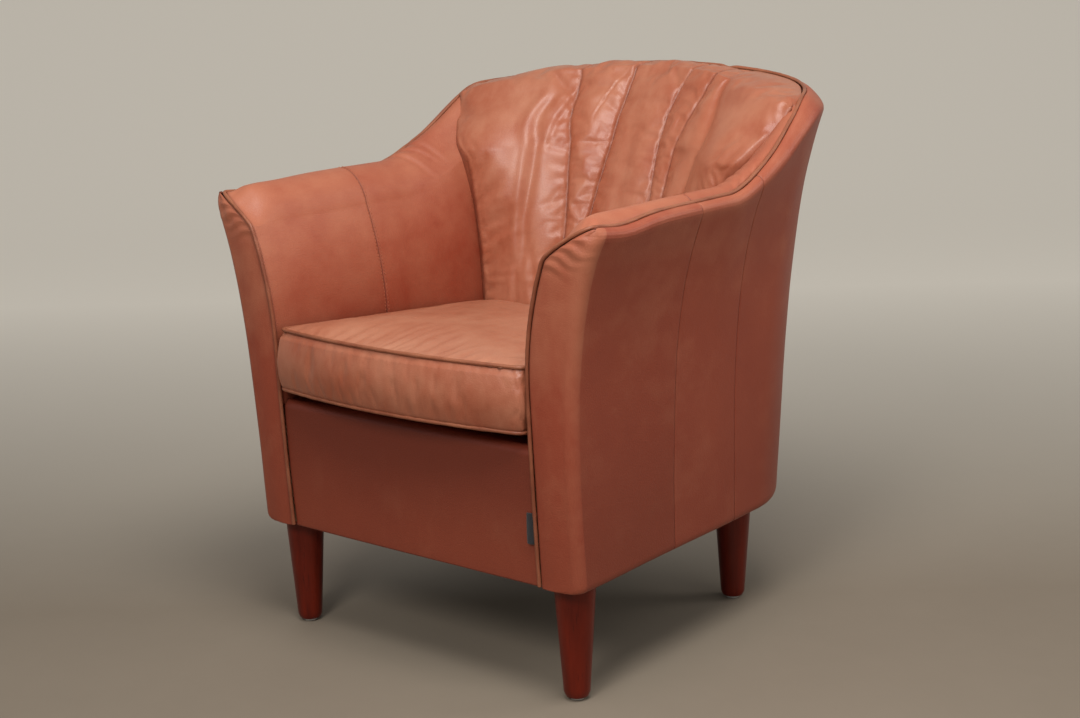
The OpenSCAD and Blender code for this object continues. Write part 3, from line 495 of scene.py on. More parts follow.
def leatherMaterial(name, look):
    material, shader, place = startMaterial(name)
    cloud, mottle = place.noise(look["cloudScale"], 3, 0.5), place.noise(26, 5, 0.6)
    streak = place.mapped((70, 16, 24), (0.4, 0.3, 0.5)).noise(1.0, 4, 0.6)
    speck = place.noise(260, 3, 0.6)
    pebble = place.make("ShaderNodeTexVoronoi", {"feature": "SMOOTH_F1"},
                        {"Vector": place, "Scale": look["grain"], "Smoothness": 0.45, "Randomness": 1.0})
    crackle = place.make("ShaderNodeTexVoronoi", {"feature": "DISTANCE_TO_EDGE"},
                         {"Vector": place, "Scale": look["grain"] * 0.42, "Randomness": 1.0})
    veins = place.mapped((11, 11, 20)).noise(1.0, 5.0, 0.5, noise_type="RIDGED_MULTIFRACTAL")
    # painted layers: a lighter tone for wear and for painted light on the lit tops, a dark seam tone for grime with
    # painted shade in seam crevices, and a painted shade tone for shaded feet, sides and recesses
    wear, seam, dim = (place.painted(layer) for layer in ("wear", "seam", "dim"))
    colour = (cloud * 0.55 + mottle * 0.3 + streak * 0.15).ramp(0.34, 0.66).blend(look["deep"], look["base"])
    wornAndLit = (wear + (mottle - 0.5) * 0.8 + (streak - 0.5) * 0.5).ramp(0.1, 1.0)
    for share, shade in ((wornAndLit * look["wearShare"], "wornAndLit"), (speck.ramp(0.58, 0.8) * 0.14, "wornAndLit"),
                         (crackle.ramp(0.045, 0.0) * 0.14, "deep"), (dim, "dim"), (seam * 0.7, "seam")):
        colour = share.blend(colour, look[shade])
    rough = (mottle - 0.5) * 0.16 + look["rough"] + (1 - wornAndLit) * 0.03 + pebble * 0.05 + seam * 0.2
    height = crackle.ramp(0.0, 0.16) * 0.34 + pebble * 0.3 + veins * 0.16 + speck * 0.2 + mottle * 0.3
    fill(shader, {"Base Color": colour, "Roughness": rough, "Normal": height.bump(look["bump"], 0.0011)},
         {"Specular IOR Level": 0.4, "Coat Weight": look["coat"], "Coat Roughness": 0.24})
    return material


def legMaterial(look):
    material, shader, place = startMaterial("mahoganyLacquer")
    fibres = place.mapped((70, 70, 5)).noise(1.4, 6, 0.62)
    bands = place.mapped((16, 16, 2.2)).noise(1.2, 3, 0.5)
    pores = place.mapped((420, 420, 26)).noise(1.0, 2, 0.5).ramp(0.6, 0.74)
    colour = (fibres * 0.6 + bands * 0.4).ramp(0.36, 0.66).blend(look["deep"], look["base"])
    fill(shader, {"Base Color": (pores * 0.55).blend(colour, look["pore"]), "Roughness": fibres * 0.12 + look["rough"],
                  "Normal": (fibres * 0.5 - pores * 0.5).bump(0.16, 0.0006)},
         {"Specular IOR Level": 0.25, "Coat Weight": 0.07, "Coat Roughness": 0.14})
    return material


def clothMaterial(name, colour, dark, scale, depth, rough=0.85):
    material, shader, place = startMaterial(name)
    across, down = (place.make("ShaderNodeTexWave", {"bands_direction": axis},
                               {"Vector": place, "Scale": scale, "Distortion": 1.2}) for axis in "XY")
    fuzz = place.noise(scale * 2.5, 4, 0.6)
    weave = across * 0.5 + down * 0.5
    fill(shader, {"Base Color": (weave * 0.5 + fuzz * 0.5).ramp(0.3, 0.7).blend(dark, colour),
                  "Roughness": (fuzz - 0.5) * 0.2 + rough, "Normal": (weave * 0.6 + fuzz * 0.6).bump(0.5, depth)},
         {"Sheen Weight": 0.2})
    return material


def grainMaterial(name, colour, dark, stretch, rough=0.62):
    material, shader, place = startMaterial(name)
    rings, fine = place.mapped(stretch).noise(1.0, 6, 0.6), place.noise(260, 4, 0.6)
    fill(shader, {"Base Color": (rings * 0.75 + fine * 0.25).ramp(0.35, 0.66).blend(dark, colour),
                  "Roughness": (fine - 0.5) * 0.25 + rough, "Normal": (rings * 0.6 + fine * 0.4).bump(0.3, 0.0008)})
    return material


def metalMaterial():
    material, shader, place = startMaterial("zincPlate")
    blot = place.noise(120, 4, 0.6)
    fill(shader, {"Base Color": blot.ramp(0.3, 0.7).blend((0.52, 0.53, 0.55), (0.72, 0.73, 0.75)),
                  "Roughness": blot * 0.2 + 0.28}, {"Metallic": 1.0})
    return material


def plasticMaterial(name, colour, dark, rough):
    material, shader, place = startMaterial(name)
    scuff, fine = place.noise(90, 5, 0.7), place.noise(900, 2, 0.5)
    fill(shader, {"Base Color": scuff.ramp(0.35, 0.7).blend(colour, dark), "Roughness": scuff * 0.2 + rough,
                  "Normal": fine.bump(0.15, 0.0003)})
    return material


# each look holds a lighter tone that paints wear and the light on lit tops, a near-black tone for seam grime with
# painted shade in crevices, and a dark painted shade tone
leathers = {
    "bodyLeather": {
        "base": (0.385, 0.080, 0.037), "deep": (0.32, 0.056, 0.026), "wornAndLit": (0.49, 0.172, 0.092),
        "seam": (0.09, 0.014, 0.007), "dim": (0.18, 0.031, 0.014), "wearShare": 0.8, "cloudScale": 4.0,
        "grain": 640, "rough": 0.45, "bump": 0.3, "coat": 0.04},
    "cushionLeather": {
        "base": (0.43, 0.128, 0.062), "deep": (0.36, 0.090, 0.042), "wornAndLit": (0.55, 0.245, 0.145),
        "seam": (0.09, 0.018, 0.009), "dim": (0.25, 0.055, 0.024), "wearShare": 0.8, "cloudScale": 5.0,
        "grain": 680, "rough": 0.37, "bump": 0.26, "coat": 0.2},
    "cordLeather": {
        "base": (0.30, 0.085, 0.040), "deep": (0.2, 0.05, 0.022), "wornAndLit": (0.46, 0.18, 0.09),
        "seam": (0.05, 0.012, 0.007), "dim": (0.15, 0.03, 0.015), "wearShare": 0.7, "cloudScale": 14,
        "grain": 760, "rough": 0.4, "bump": 0.3, "coat": 0.08},
    "stitchThread": {
        "base": (0.44, 0.15, 0.075), "deep": (0.36, 0.11, 0.05), "wornAndLit": (0.55, 0.24, 0.13),
        "seam": (0.08, 0.018, 0.01), "dim": (0.25, 0.06, 0.03), "wearShare": 0.5, "cloudScale": 30,
        "grain": 1400, "rough": 0.5, "bump": 0.3, "coat": 0.0},
}
bodyLeather, cushionLeather, cordLeather, threadMaterial = (
    leatherMaterial(name, look) for name, look in leathers.items())
slotMaterials = {
    "body_leather": bodyLeather, "cushion_leather": cushionLeather, "piping_leather": cordLeather,
    "leg_wood": legMaterial({"base": (0.175, 0.013, 0.003), "deep": (0.10, 0.007, 0.002),
                             "pore": (0.04, 0.004, 0.002), "rough": 0.30}),
    "frame_timber": grainMaterial("planedTimber", (0.60, 0.42, 0.24), (0.42, 0.26, 0.13), (6, 40, 40)),
    "ply": grainMaterial("sandedPly", (0.62, 0.45, 0.27), (0.47, 0.31, 0.17), (18, 220, 8)),
    "panel_board": grainMaterial("fibreBoard", (0.36, 0.25, 0.15), (0.26, 0.17, 0.10), (60, 60, 60), 0.8),
    "webbing": clothMaterial("elasticWebbing", (0.05, 0.045, 0.045), (0.02, 0.018, 0.018), 260, 0.0008),
    "black_cloth": clothMaterial("blackCloth", (0.035, 0.035, 0.036), (0.014, 0.014, 0.015), 420, 0.0004),
    "foam": clothMaterial("openFoam", (0.80, 0.72, 0.46), (0.62, 0.53, 0.30), 380, 0.0008, 0.92),
    "wadding": clothMaterial("fibreWadding", (0.82, 0.82, 0.79), (0.62, 0.62, 0.60), 90, 0.002, 0.95),
    "zip": plasticMaterial("zipCoil", (0.06, 0.028, 0.018), (0.03, 0.014, 0.010), 0.4),
    "glide_plastic": plasticMaterial("whiteNylon", (0.72, 0.71, 0.67), (0.45, 0.43, 0.39), 0.38),
    "zinc_steel": metalMaterial(),
    "tag_cloth": clothMaterial("tagCloth", (0.022, 0.022, 0.025), (0.008, 0.008, 0.010), 900, 0.0003, 0.7),
}
for part in frame["record"]["subparts"]:
    for holder in frame["nodes"][part["node"]].material_slots:
        holder.material = slotMaterials[part["material_slot"]]
print("materials ready")

# ---- camera at the photo's angle
camera = {"azimuth": 38.7, "pitch": 13.2, "roll": -1.5, "distance": 2.2901, "across": 0.1761, "height": 0.4129,
          "lens": 60, "sensor": 36}
azimuth, pitch, roll = (math.radians(camera[k]) for k in ("azimuth", "pitch", "roll"))
backward = Vector((math.sin(azimuth) * math.cos(pitch), -math.cos(azimuth) * math.cos(pitch), math.sin(pitch)))
sideways = Vector((math.cos(azimuth), math.sin(azimuth), 0))
upward = backward.cross(sideways)
target = sideways * camera["across"] + Vector((0, -tub["middle"] / 1000, camera["height"]))
rightEdge = sideways * math.cos(roll) + upward * math.sin(roll)
topEdge = upward * math.cos(roll) - sideways * math.sin(roll)
lensData = bpy.data.cameras.new("photoCamera")
lensData.lens, lensData.sensor_width, lensData.sensor_fit = camera["lens"], camera["sensor"], "HORIZONTAL"
photoCamera = linked("photoCamera", lensData)
photoCamera.matrix_world = Matrix.Translation(target + backward * camera["distance"]) @ Matrix(
    (rightEdge, topEdge, backward)).transposed().to_4x4()
scene.camera = photoCamera

# ---- outer leather of the body
outerCurve = {
    # share of the way, height share, inset and drop in millimetres
    "way": [0, 0.012, 0.02, 0.028, 0.036, 0.045, 0.86, 0.885, 0.91, 0.935, 0.955, 0.97, 0.985, 1],
    "share": [0.0, 0, 0, 0.003, 0.009, 0.018, 0.965, 0.974, 0.9825, 0.9895, 0.9953, 0.9988, 1, 1],
    "inset": [12, 8.5, 6.4, 3.2, 1.0, 0, 0, 0.58, 2.28, 4.98, 8.5, 12.6, 16.6, 18.4],
    "drop": [-0.6, -0.2, 0, 0, 0, 0, 0, 0, 0, 0, 0, 0, 0.1, 2.4],
}
girth = 470  # millimetres of outer leather from foot to rim
half = 0.05  # each piece ends this far from the middle of its seam
# the last few columns beside a seam: distance from the seam and how far the leather turns in, in millimetres
seamEdge = {"along": [0, 0.07, 0.3, 0.8, 1.7, 3.4], "dip": [1.6, 1.2, 0.7, 0.3, 0.06, 0]}


def outerShape(v):
    return tuple(np.interp(v, outerCurve["way"], outerCurve[k]) for k in ("share", "inset", "drop"))


def seamColumns(u, columns, length, atStart=True, atEnd=True):
    index = np.round(u * columns)
    plain = {"along": [0], "dip": [0]}
    first, last = seamEdge if atStart else plain, seamEdge if atEnd else plain
    n, m = len(first["along"]) - 1, columns - len(last["along"]) + 1
    marks = [*range(n + 1), *range(m, columns + 1)]
    low = np.interp(index, range(n + 1), first["along"])
    high = np.interp(index, range(m, columns + 1), last["along"][::-1])
    middle = mix(first["along"][-1], length - last["along"][-1], (index - n) / (m - n))
    run = np.where(index <= n, low, np.where(index >= m, length - high, middle))
    return run, np.interp(index, marks, first["dip"] + last["dip"][::-1])


# grime with painted shade in the crevice along the rim seam
def rimSeam(v, length):
    return decay((1 - v) * length / 2.5) * 0.7


def outerSeams(v, away):  # grime with painted shade in the crevices at the rim, the foot and the upright seam
    return decay(away / 0.9) * 0.6 + rimSeam(v, girth) + decay(v * girth / 6) * 0.25


def outerWear(p, away, size):
    return bell(away / 3.5) * 0.12 + wave(p, size) * 0.2 + 0.1


def outerBand(name, begin, stop, columns, rows, *nodes):
    def place(u, v):
        run, dip = seamColumns(u, columns, stop - begin)
        run = begin + run
        t = stationAt(run)
        q, inset, drop = outerShape(v)
        x, y = plan(t, q, inset)
        return metres(x, y, levelZ(t, q) - drop), q, run, dip

    piece, p, u, v, q, run, dip = wallSheet(True, name, columns, rows, place)
    away = nearer(run - begin, stop - run)
    puckers = gathers(q * 460, away, 12, 7, begin) * 0.35 * (1 - bell(away / 2))
    rimPuckers = gathers(run, (1 - v) * girth, 14, 12, 4.0) * 0.5 * (1 - bell((1 - v) * 60))
    push(piece, bodyWaves(p) + puckers + rimPuckers - dip)
    # seam grime with painted crevice shade; lighter near the rim, as wear and painted top light; painted shade toward
    # the foot
    paint(piece, seam=outerSeams(v, away), wear=ease((q - 0.93) / 0.07) * 0.4 + outerWear(p, away, 120),
          dim=0.45 * (1 - ease(q / 0.75)))
    return leatherSheet(piece, *nodes)


sideBand = outerBand("side_leather_right", frontSeam + half, rearSeam - half, 48, 150, "side_band_right")
mirrorCopy(sideBand, "side_leather_left", "body_leather", "side_band_left")
outerBand("back_leather", rearSeam + half, runTable[-1] - rearSeam - half, 300, 150, "back_cover", "outer_wadding")
print("outer leather ready")

# ---- arm fronts: face, soft corner and side up to the first seam
armFront = {
    "columns": 170, "rows": 200, "faceColumns": 66, "cornerColumns": 84,
    # pinched folds under the top: start and slope of each line, its width, depth and how far it runs
    "folds": [(596, -0.10, 3.2, 1.6, 34), (587, -0.16, 3.6, 2.0, 46), (577, -0.20, 3.4, 1.5, 40),
              (565, -0.24, 4.2, 1.2, 30)],
}


def faceSlope(q):
    low, high = q - 0.003, nearer(1, q + 0.003)
    return ((halfWidth(high) - faceIn(high)) - (halfWidth(low) - faceIn(low))) / ((high - low) * armRise)


def armFrontShape(u, v):
    columns, faceEnd, cornerEnd = (armFront[k] for k in ("columns", "faceColumns", "cornerColumns"))
    q, rim, drop = outerShape(v)
    room = (tub["cord"] + tub["gap"]) * np.sqrt(1 + faceSlope(q) ** 2)
    edge = np.maximum(faceIn(q) - room, rim)
    corner = nearer(tub["frontCorner"], (edge - rim) / 2)
    width = np.maximum(edge - rim - corner, 1e-3)
    index = np.round(u * columns)
    onFace, onSide = index <= faceEnd, index > cornerEnd
    n = len(seamEdge["along"]) - 1
    start = np.interp(index, range(n + 1), seamEdge["along"])
    s = mix(seamEdge["along"][-1] / width, 1, np.interp(index, [n, faceEnd], [0, 1]))
    s = clamp(np.where(index <= n, start / width, s))
    angle = np.interp(index, [faceEnd, cornerEnd], [0, math.pi / 2])
    y0 = frontY(q)
    yCorner = y0 + tub["faceBow"] + tub["frontCorner"]
    sideColumns = columns - cornerEnd
    run, dip = seamColumns(clamp((index - cornerEnd) / sideColumns), sideColumns, frontSeam - half - yCorner,
                           atStart=False)
    dip = np.where(onSide, dip, np.interp(index, range(n + 1), seamEdge["dip"]) * nearer(1, width / 12))
    inset = np.where(onFace, mix(edge, rim + corner, s), rim + corner * (1 - np.sin(angle)))
    bulge = 2.2 * np.sin(math.pi * s) * clamp((edge - rim) / 40) * onFace
    y = np.where(onSide, yCorner + run, y0 + tub["faceBow"] * s + tub["frontCorner"] * (1 - np.cos(angle)) - bulge)
    across = np.where(onSide, width + 24 + run, s * width + angle * tub["frontCorner"])
    away = np.where(onSide, frontSeam - half - y, 1e3)
    under = clamp((0.02 - v) / 0.02) * 4 * onFace
    z = tub["base"] + q * armRise - drop - rimDroop(y) * ease((q - 0.8) / 0.2)
    return metres(halfWidth(q) - inset, y + under, z), z, q, across, away, dip


def armFrontLeather(name, *nodes):
    piece, p, u, v, z, q, across, away, dip = wallSheet(
        True, name, armFront["columns"], armFront["rows"], armFrontShape)
    clear = (1 - bell(across / 3)) * (1 - bell(away / 2)) * (1 - bell((1 - v) * 50))
    top = ease((q - 0.84) / 0.12)
    amount = gathers(q * 470, across, 11, 14, 2.0) * (0.3 + 1.2 * top)
    amount = amount + gathers(q * 460, away, 12, 7, 9.0) * 0.35
    for start, slope, breadth, depth, reach in armFront["folds"]:
        line = z - start - slope * across - 2.5 * np.sin(across / 9)
        amount = amount + depth * ridge(line, breadth, -1.5, 0.7) * np.exp(-(across / reach) ** 3)
    push(piece, bodyWaves(p) + amount * clear - dip)
    column = u * armFront["columns"]
    onFace = column < armFront["cornerColumns"]
    # a lighter band down the rounded corner
    cornerLighterBand = bell((column - 75) / 9) * 0.22
    # painted light: the face lighter than the side and lighter toward the top
    paintedFaceLight = ease((q - 0.3) / 0.6) * 0.55 * onFace
    # grime with painted crevice shade beside the piping and seams; lighter at the top, as wear and painted top light;
    # painted shade toward the foot, twice as strong on the side as on the face
    paint(piece, seam=decay(across / 1.6) + outerSeams(v, away),
          wear=top * 0.3 + paintedFaceLight + cornerLighterBand + outerWear(p, away, 110),
          dim=(0.6 * (1 - ease(q / 0.7)) + 0.1) * np.where(onFace, 0.5, 1.0))
    return leatherSheet(piece, *nodes)


armFrontRight = armFrontLeather("arm_front_leather_right", "arm_cover_right", "front_pad_right")
mirrorCopy(armFrontRight, "arm_front_leather_left", "body_leather", "arm_cover_left", "front_pad_left")
print("arm fronts ready")

# ---- lining of the arms
lining = {
    "deck": 327, "slope": 0.0787, "reach": 440, "rollWay": 0.66, "tuckWay": 0.985, "rearStation": 1.48,
    "girth": 330, "length": 348,
    # soft creases where the arm sweeps up into the back: start, slope, width, depth and length
    "creases": [(300, 0.5, 5, -1.6, 60), (318, 0.62, 4, -1.3, 44), (345, 0.4, 5, -1.1, 50)],
}


def liningShape(v, t):  # height share, and the turn of the roll in degrees
    foot = shareAt(t, lining["deck"] - lining["slope"] * nearer(rimRun(t), lining["reach"]))
    wall = mix(foot, tub["rollShare"], v / lining["rollWay"])
    turn = np.interp(v, [lining["rollWay"], lining["tuckWay"]], [0, 90])
    roll = tub["rollShare"] + (1 - tub["rollShare"]) * np.sin(np.radians(turn)) ** (2 / rollBend(t))
    return np.where(v < lining["rollWay"], wall, roll), turn


def liningPiece(name, columns, rows, frontEdge, *nodes):
    def place(u, v):
        if frontEdge:
            begin = frontY(liningShape(v, np.zeros_like(v))[0]) + tub["cord"] + tub["gap"]
            run, dip = seamColumns(u, columns, frontSeam - half - begin)
            t, toFront, toSeam = (begin + run) / rearSeam, run, frontSeam - half - begin - run
        else:
            rear = float(rimRun(np.array(lining["rearStation"])))
            run, dip = seamColumns(u, columns, rear - frontSeam - half, atEnd=False)
            t, toFront, toSeam = stationAt(frontSeam + half + run), np.full_like(run, 1e3), run
        q = liningShape(v, t)[0]
        x, y = plan(t, q, innerIn(t, q))
        tuck = clamp((v - lining["tuckWay"]) / (1 - lining["tuckWay"]))
        return metres(x, y, levelZ(t, q) + rollLift(t, q) - 2.4 * tuck), t, q, dip, toFront, toSeam

    piece, p, u, v, t, q, dip, toFront, toSeam = wallSheet(False, name, columns, rows, place)
    top = ease((q - 0.86) / 0.1)
    up, down = v * lining["girth"], (1 - v) * lining["girth"]
    clear = (1 - bell(toFront / 3)) * (1 - bell(toSeam / 2.5)) * (1 - bell((1 - v) * 40))
    amount = gathers(t * lining["length"], down, 14, 10, 3.0) * 0.6
    amount = amount + gathers(up, toFront, 12, 16, 5.0) * (0.3 + 1.3 * top) + gathers(up, toSeam, 12, 9, 2.0) * 0.7
    for start, slope, breadth, depth, length in (() if frontEdge else lining["creases"]):
        line = rimRun(t) - start - slope * down
        amount = amount + depth * ridge(line, breadth, 1.6, 0.7) * np.exp(-((down - 40) / length) ** 4)
    push(piece, bodyWaves(p) + np.maximum(amount, -1.6) * clear - dip)
    # grime with painted crevice shade at the seams and the piping; lighter toward the top, as wear and painted top
    # light, and toward the arm's front; painted shade toward the foot
    warm = decay(t * rearSeam / 130) * 0.4 * frontEdge
    paint(piece, seam=decay(toSeam / 0.9) + decay(toFront / 1.6) + rimSeam(v, lining["girth"]),
          wear=0.2 + ease((q - 0.6) / 0.35) * 0.5 + warm + wave(p, 100) * 0.22,
          dim=(0.6 if frontEdge else 0.4) * (1 - ease((q - 0.45) / 0.45)))
    return leatherSheet(piece, *nodes)


innerFront = liningPiece("inner_arm_leather_right", 110, 130, True, "inner_arm_front_right", "arm_pad_right")
mirrorCopy(innerFront, "inner_arm_leather_left", "body_leather", "inner_arm_front_left", "arm_pad_left")
innerRear = liningPiece("inner_wing_leather_right", 120, 130, False, "inner_arm_rear_right")
mirrorCopy(innerRear, "inner_wing_leather_left", "body_leather", "inner_arm_rear_left")

# ---- a row of stitches each side of the seam on the inner arm
stitch = {
    "length": 3.4, "pitch": 5.2, "thread": 0.42, "away": 3.2, "sides": 6, "out": 0.25,
    "steps": [0, 0.12, 0.5, 0.88, 1], "rise": [-0.9, 0.15, 0.3, 0.15, -0.9],
}


def stitchPlaces():
    v = np.linspace(0.02, 0.965, 900)
    for side in (-1, 1):
        t = stationAt(np.full_like(v, frontSeam + side * stitch["away"]))
        q, turn = liningShape(v, t)
        lean = np.radians(turn)
        x, y = plan(t, q, innerIn(t, q))
        z = levelZ(t, q) + rollLift(t, q) + stitch["out"] * np.sin(lean)
        line = evenPath(np.stack([x - stitch["out"] * np.cos(lean), y, z], 1), 0.4)
        reach = lengthsOf(line)
        for begin in np.arange(3, reach[-1] - 6, stitch["pitch"]):
            yield pointsAt(begin + np.array(stitch["steps"]) * stitch["length"], reach, line)


def stitchRow(name):
    verts, faces, n = [], [], stitch["sides"]
    for place in stitchPlaces():
        ahead = place[-1] - place[0]
        ahead /= np.linalg.norm(ahead)
        outward = np.array([-1.0, 0, 0.5])
        outward -= ahead * (outward @ ahead)
        outward /= np.linalg.norm(outward)
        across = np.cross(ahead, outward)
        base = len(verts)
        for point, up in zip(place, stitch["rise"]):
            for angle in np.arange(n) * 2 * math.pi / n:
                ray = outward * math.cos(angle) + across * math.sin(angle)
                verts.append(point + outward * up + stitch["thread"] * ray)
        for ring in range(base, base + (len(place) - 1) * n, n):
            for k in range(n):
                a, b = ring + k, ring + (k + 1) % n
                faces.append((a, b, b + n, a + n))
        faces.append(tuple(base + k for k in reversed(range(n))))
        faces.append(tuple(base + (len(place) - 1) * n + k for k in range(n)))
    mesh = bpy.data.meshes.new(name)
    mesh.from_pydata(metres(*np.array(verts).T).tolist(), [], faces)
    piece = linked(name, mesh)
    facesOut(piece)
    return settle(piece, "body_leather", material=threadMaterial)


stitches = stitchRow("inner_arm_stitches_right")
mirrorCopy(stitches, "inner_arm_stitches_left", "body_leather", material=threadMaterial)
print("arm lining ready")

# ---- piping of the arm fronts and the rim
piping = {"notches": [(95, 3.2), (232, 2.6)], "notchReach": 7, "proud": 0.65, "step": 3.0}


def pipingPath():
    q = np.concatenate([np.linspace(0.004, 0.9, 90), np.linspace(0.903, 1, 60)])
    z = tub["base"] + q * armRise - rimDroop(frontY(q)) * ease((q - 0.8) / 0.2)
    front = np.stack([halfWidth(q) - faceIn(q), frontY(q), z], 1)
    t = np.concatenate([np.linspace(6 / rearSeam, 1, 60), np.linspace(1.01, 2.998, 170)])
    x, y = plan(t, np.ones_like(t), cordIn)
    notches = sum(depth * bell((x - at) / piping["notchReach"]) for at, depth in piping["notches"]) * (t > 2)
    rim = np.stack([x, y, rimZ(t) + piping["proud"] - rimDroop(rimRun(t)) - notches], 1)
    return metres(*relax(evenPath(np.vstack([front, rim]), piping["step"]), 3).T)


pipeRight = tubePiece("rim_piping_leather_right", pipingPath())
p = coordsOf(pipeRight) * 1000
push(pipeRight, wave(p, 9) * 0.28 + wave(p + 50, 26) * 0.3)
# lighter high up, as wear and painted top light
paint(pipeRight, wear=ease((p[:, 2] - 560) / 60) * 0.35 + wave(p, 40) * 0.3 + 0.15)
settle(pipeRight, "piping_leather", "rim_piping_right")
mirrorCopy(pipeRight, "rim_piping_leather_left", "piping_leather", "rim_piping_left")
print("piping ready")

# ---- apron below the seat
apron = {"halfWidth": 215.2, "front": 2, "bend": 12, "flap": 58, "deck": 336, "tilt": 4.5, "lean": 0.55,
         "round": 4, "bendWay": 0.8, "flapWay": 0.93, "tuck": 2.2, "tuckReach": 1.2}
deckTilt = math.radians(apron["tilt"])
deckSlope = math.tan(deckTilt)


def apronPlace(u, v):
    wide, front, bend, bendWay, flapWay = (apron[k] for k in ("halfWidth", "front", "bend", "bendWay", "flapWay"))
    middle = front + bend
    top = apron["deck"] - middle * deckSlope
    turn = np.radians(np.interp(v, [bendWay, flapWay], [0, 90]))
    x = (u * 2 - 1) * wide
    x = np.where(np.abs(x) > wide - apron["round"], np.sign(x) * (wide - positive(wide - np.abs(x)) ** 1.5 / 2), x)
    y = np.where(v < bendWay, front, middle - bend * np.cos(turn))
    z = np.where(v < bendWay, mix(tub["base"] + 0.3, top - bend, v / bendWay), top - bend * (1 - np.sin(turn)))
    back = clamp((v - flapWay) / (1 - flapWay))
    y = mix(y, apron["flap"], back)
    z = mix(z, apron["deck"] - apron["flap"] * deckSlope, back)
    edge = wide - np.abs(x)
    share = apron["lean"] + (1 - apron["lean"]) * bell(edge / 45)
    follow = (frontY(clamp((z - tub["base"]) / armRise)) + 2.4 - front) * share * (1 - back)
    belly = -1.4 * np.sin(math.pi * clamp(v / bendWay)) * clamp(edge / 60)
    return [metres(x, y + follow + belly, z)]


apronPiece, u, v = gridPiece("apron_leather", 170, 110, apronPlace)
p = coordsOf(apronPiece) * 1000
if normalsOf(apronPiece)[:, 1].sum() > 0:
    flip(apronPiece)
edge = apron["halfWidth"] - np.abs(p[:, 0])
tucked = bell(edge / apron["tuckReach"]) * apron["tuck"]
uneven = wave(p, 90) * 0.8 + wave(p + 40, 38) * 0.2 + gathers(p[:, 2], edge, 13, 8, 1.0) * 0.6
push(apronPiece, (uneven - tucked) * (v < 0.9))
# painted shade over the apron, darkest at its top under the seat cushion's overhang; grime with painted crevice shade
# at the tucked sides and the foot
paint(apronPiece, seam=decay(edge / 2) + decay(v * 200 / 5) * 0.25, wear=wave(p, 90) * 0.2 + 0.02,
      dim=0.45 + 0.5 * ease((v - 0.05) / 0.7))
leatherSheet(apronPiece, "apron")
print("apron ready")

# ---- black cloth over the sprung deck, seen when the seat cushion is lifted
deckLow, deckHigh = (np.array(corner) * 1000 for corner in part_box("deck_cloth"))
deckTop, deckFront = deckHigh[2], deckLow[1]
# it runs on under the lining and the back cushion
deckLow, deckHigh = deckLow + (-7, 0, 0), deckHigh + (7, 45, 0)


def deckPlace(u, v):
    x, y = mix(deckLow[0], deckHigh[0], u), mix(deckLow[1], deckHigh[1], v)
    wide, deep = (deckHigh - deckLow)[:2]
    edge = nearer(nearer(u, 1 - u) * wide, nearer(v, 1 - v) * deep)
    sag = 5 * clamp(edge / 60) ** 0.6 * np.sin(math.pi * clamp(edge / 260)) + 2.5 * decay(edge / 2)
    return [np.stack([x, y, deckTop - (y - deckFront) * deckSlope - 0.2 - sag], 1) * 0.001]


deckPiece, u, v = gridPiece("deck_cloth_cover", 120, 120, deckPlace)
toSide, toEnd = nearer(u, 1 - u) * 400, nearer(v, 1 - v) * 420
tension = gathers(u * 400, toEnd, 16, 26, 1.0) + gathers(v * 420, toSide, 16, 26, 5.0)
p = coordsOf(deckPiece) * 1000
push(deckPiece, (tension * 0.7 + wave(p, 70) * 0.5) * ease(nearer(toSide, toEnd) / 12))
useModifier(deckPiece, "cloth thickness", "SOLIDIFY", thickness=0.0008, offset=-1)
settle(deckPiece, "black_cloth", "deck_cloth", "deck_pad")
print("deck ready")

# ---- cushions are swelled by a short cloth run
stuffing = {"quality": 6, "mass": 0.4, "tension_stiffness": 18, "compression_stiffness": 18,
            "shear_stiffness": 8, "use_pressure": True, "vertex_group_mass": "sewn"}


def swell(piece, pinned, limit, frames, **settings):
    start = coordsOf(piece)
    group = piece.vertex_groups.new(name="sewn")
    for weight in np.unique(np.round(pinned, 1)):
        if weight > 0:
            rows = np.nonzero(np.round(pinned, 1) == weight)[0]
            group.add(rows.tolist(), float(weight), "REPLACE")
    cloth = piece.modifiers.new("stuffing", "CLOTH")
    for key, value in {**stuffing, **settings}.items():
        setattr(cloth.settings, key, value)
    cloth.settings.effector_weights.gravity = 0
    cloth.collision_settings.use_collision = False
    cloth.collision_settings.use_self_collision = False
    cloth.point_cache.frame_start, cloth.point_cache.frame_end = 1, frames
    for number in range(1, frames + 1):
        scene.frame_set(number)
    shown = piece.evaluated_get(bpy.context.evaluated_depsgraph_get())
    move = coordsOf(shown) - start
    piece.modifiers.remove(cloth)
    piece.vertex_groups.clear()
    scene.frame_set(1)
    size = np.linalg.norm(move, axis=1)
    print(piece.name, "swelled by up to", round(float(size.max()) * 1000, 1), "mm")
    kept = limit * np.tanh(size / limit) / np.maximum(size, 1e-9)
    setCoords(piece, start + move * kept[:, None])


def refine(piece, *places):  # a finer mesh that still knows its places in the box
    names = ("placeU", "placeV", "placeW")
    paint(piece, **dict(zip(names, places)))
    useModifier(piece, "finer leather", "SUBSURF", levels=1, render_levels=1)
    return [readBack(piece, name) for name in names]


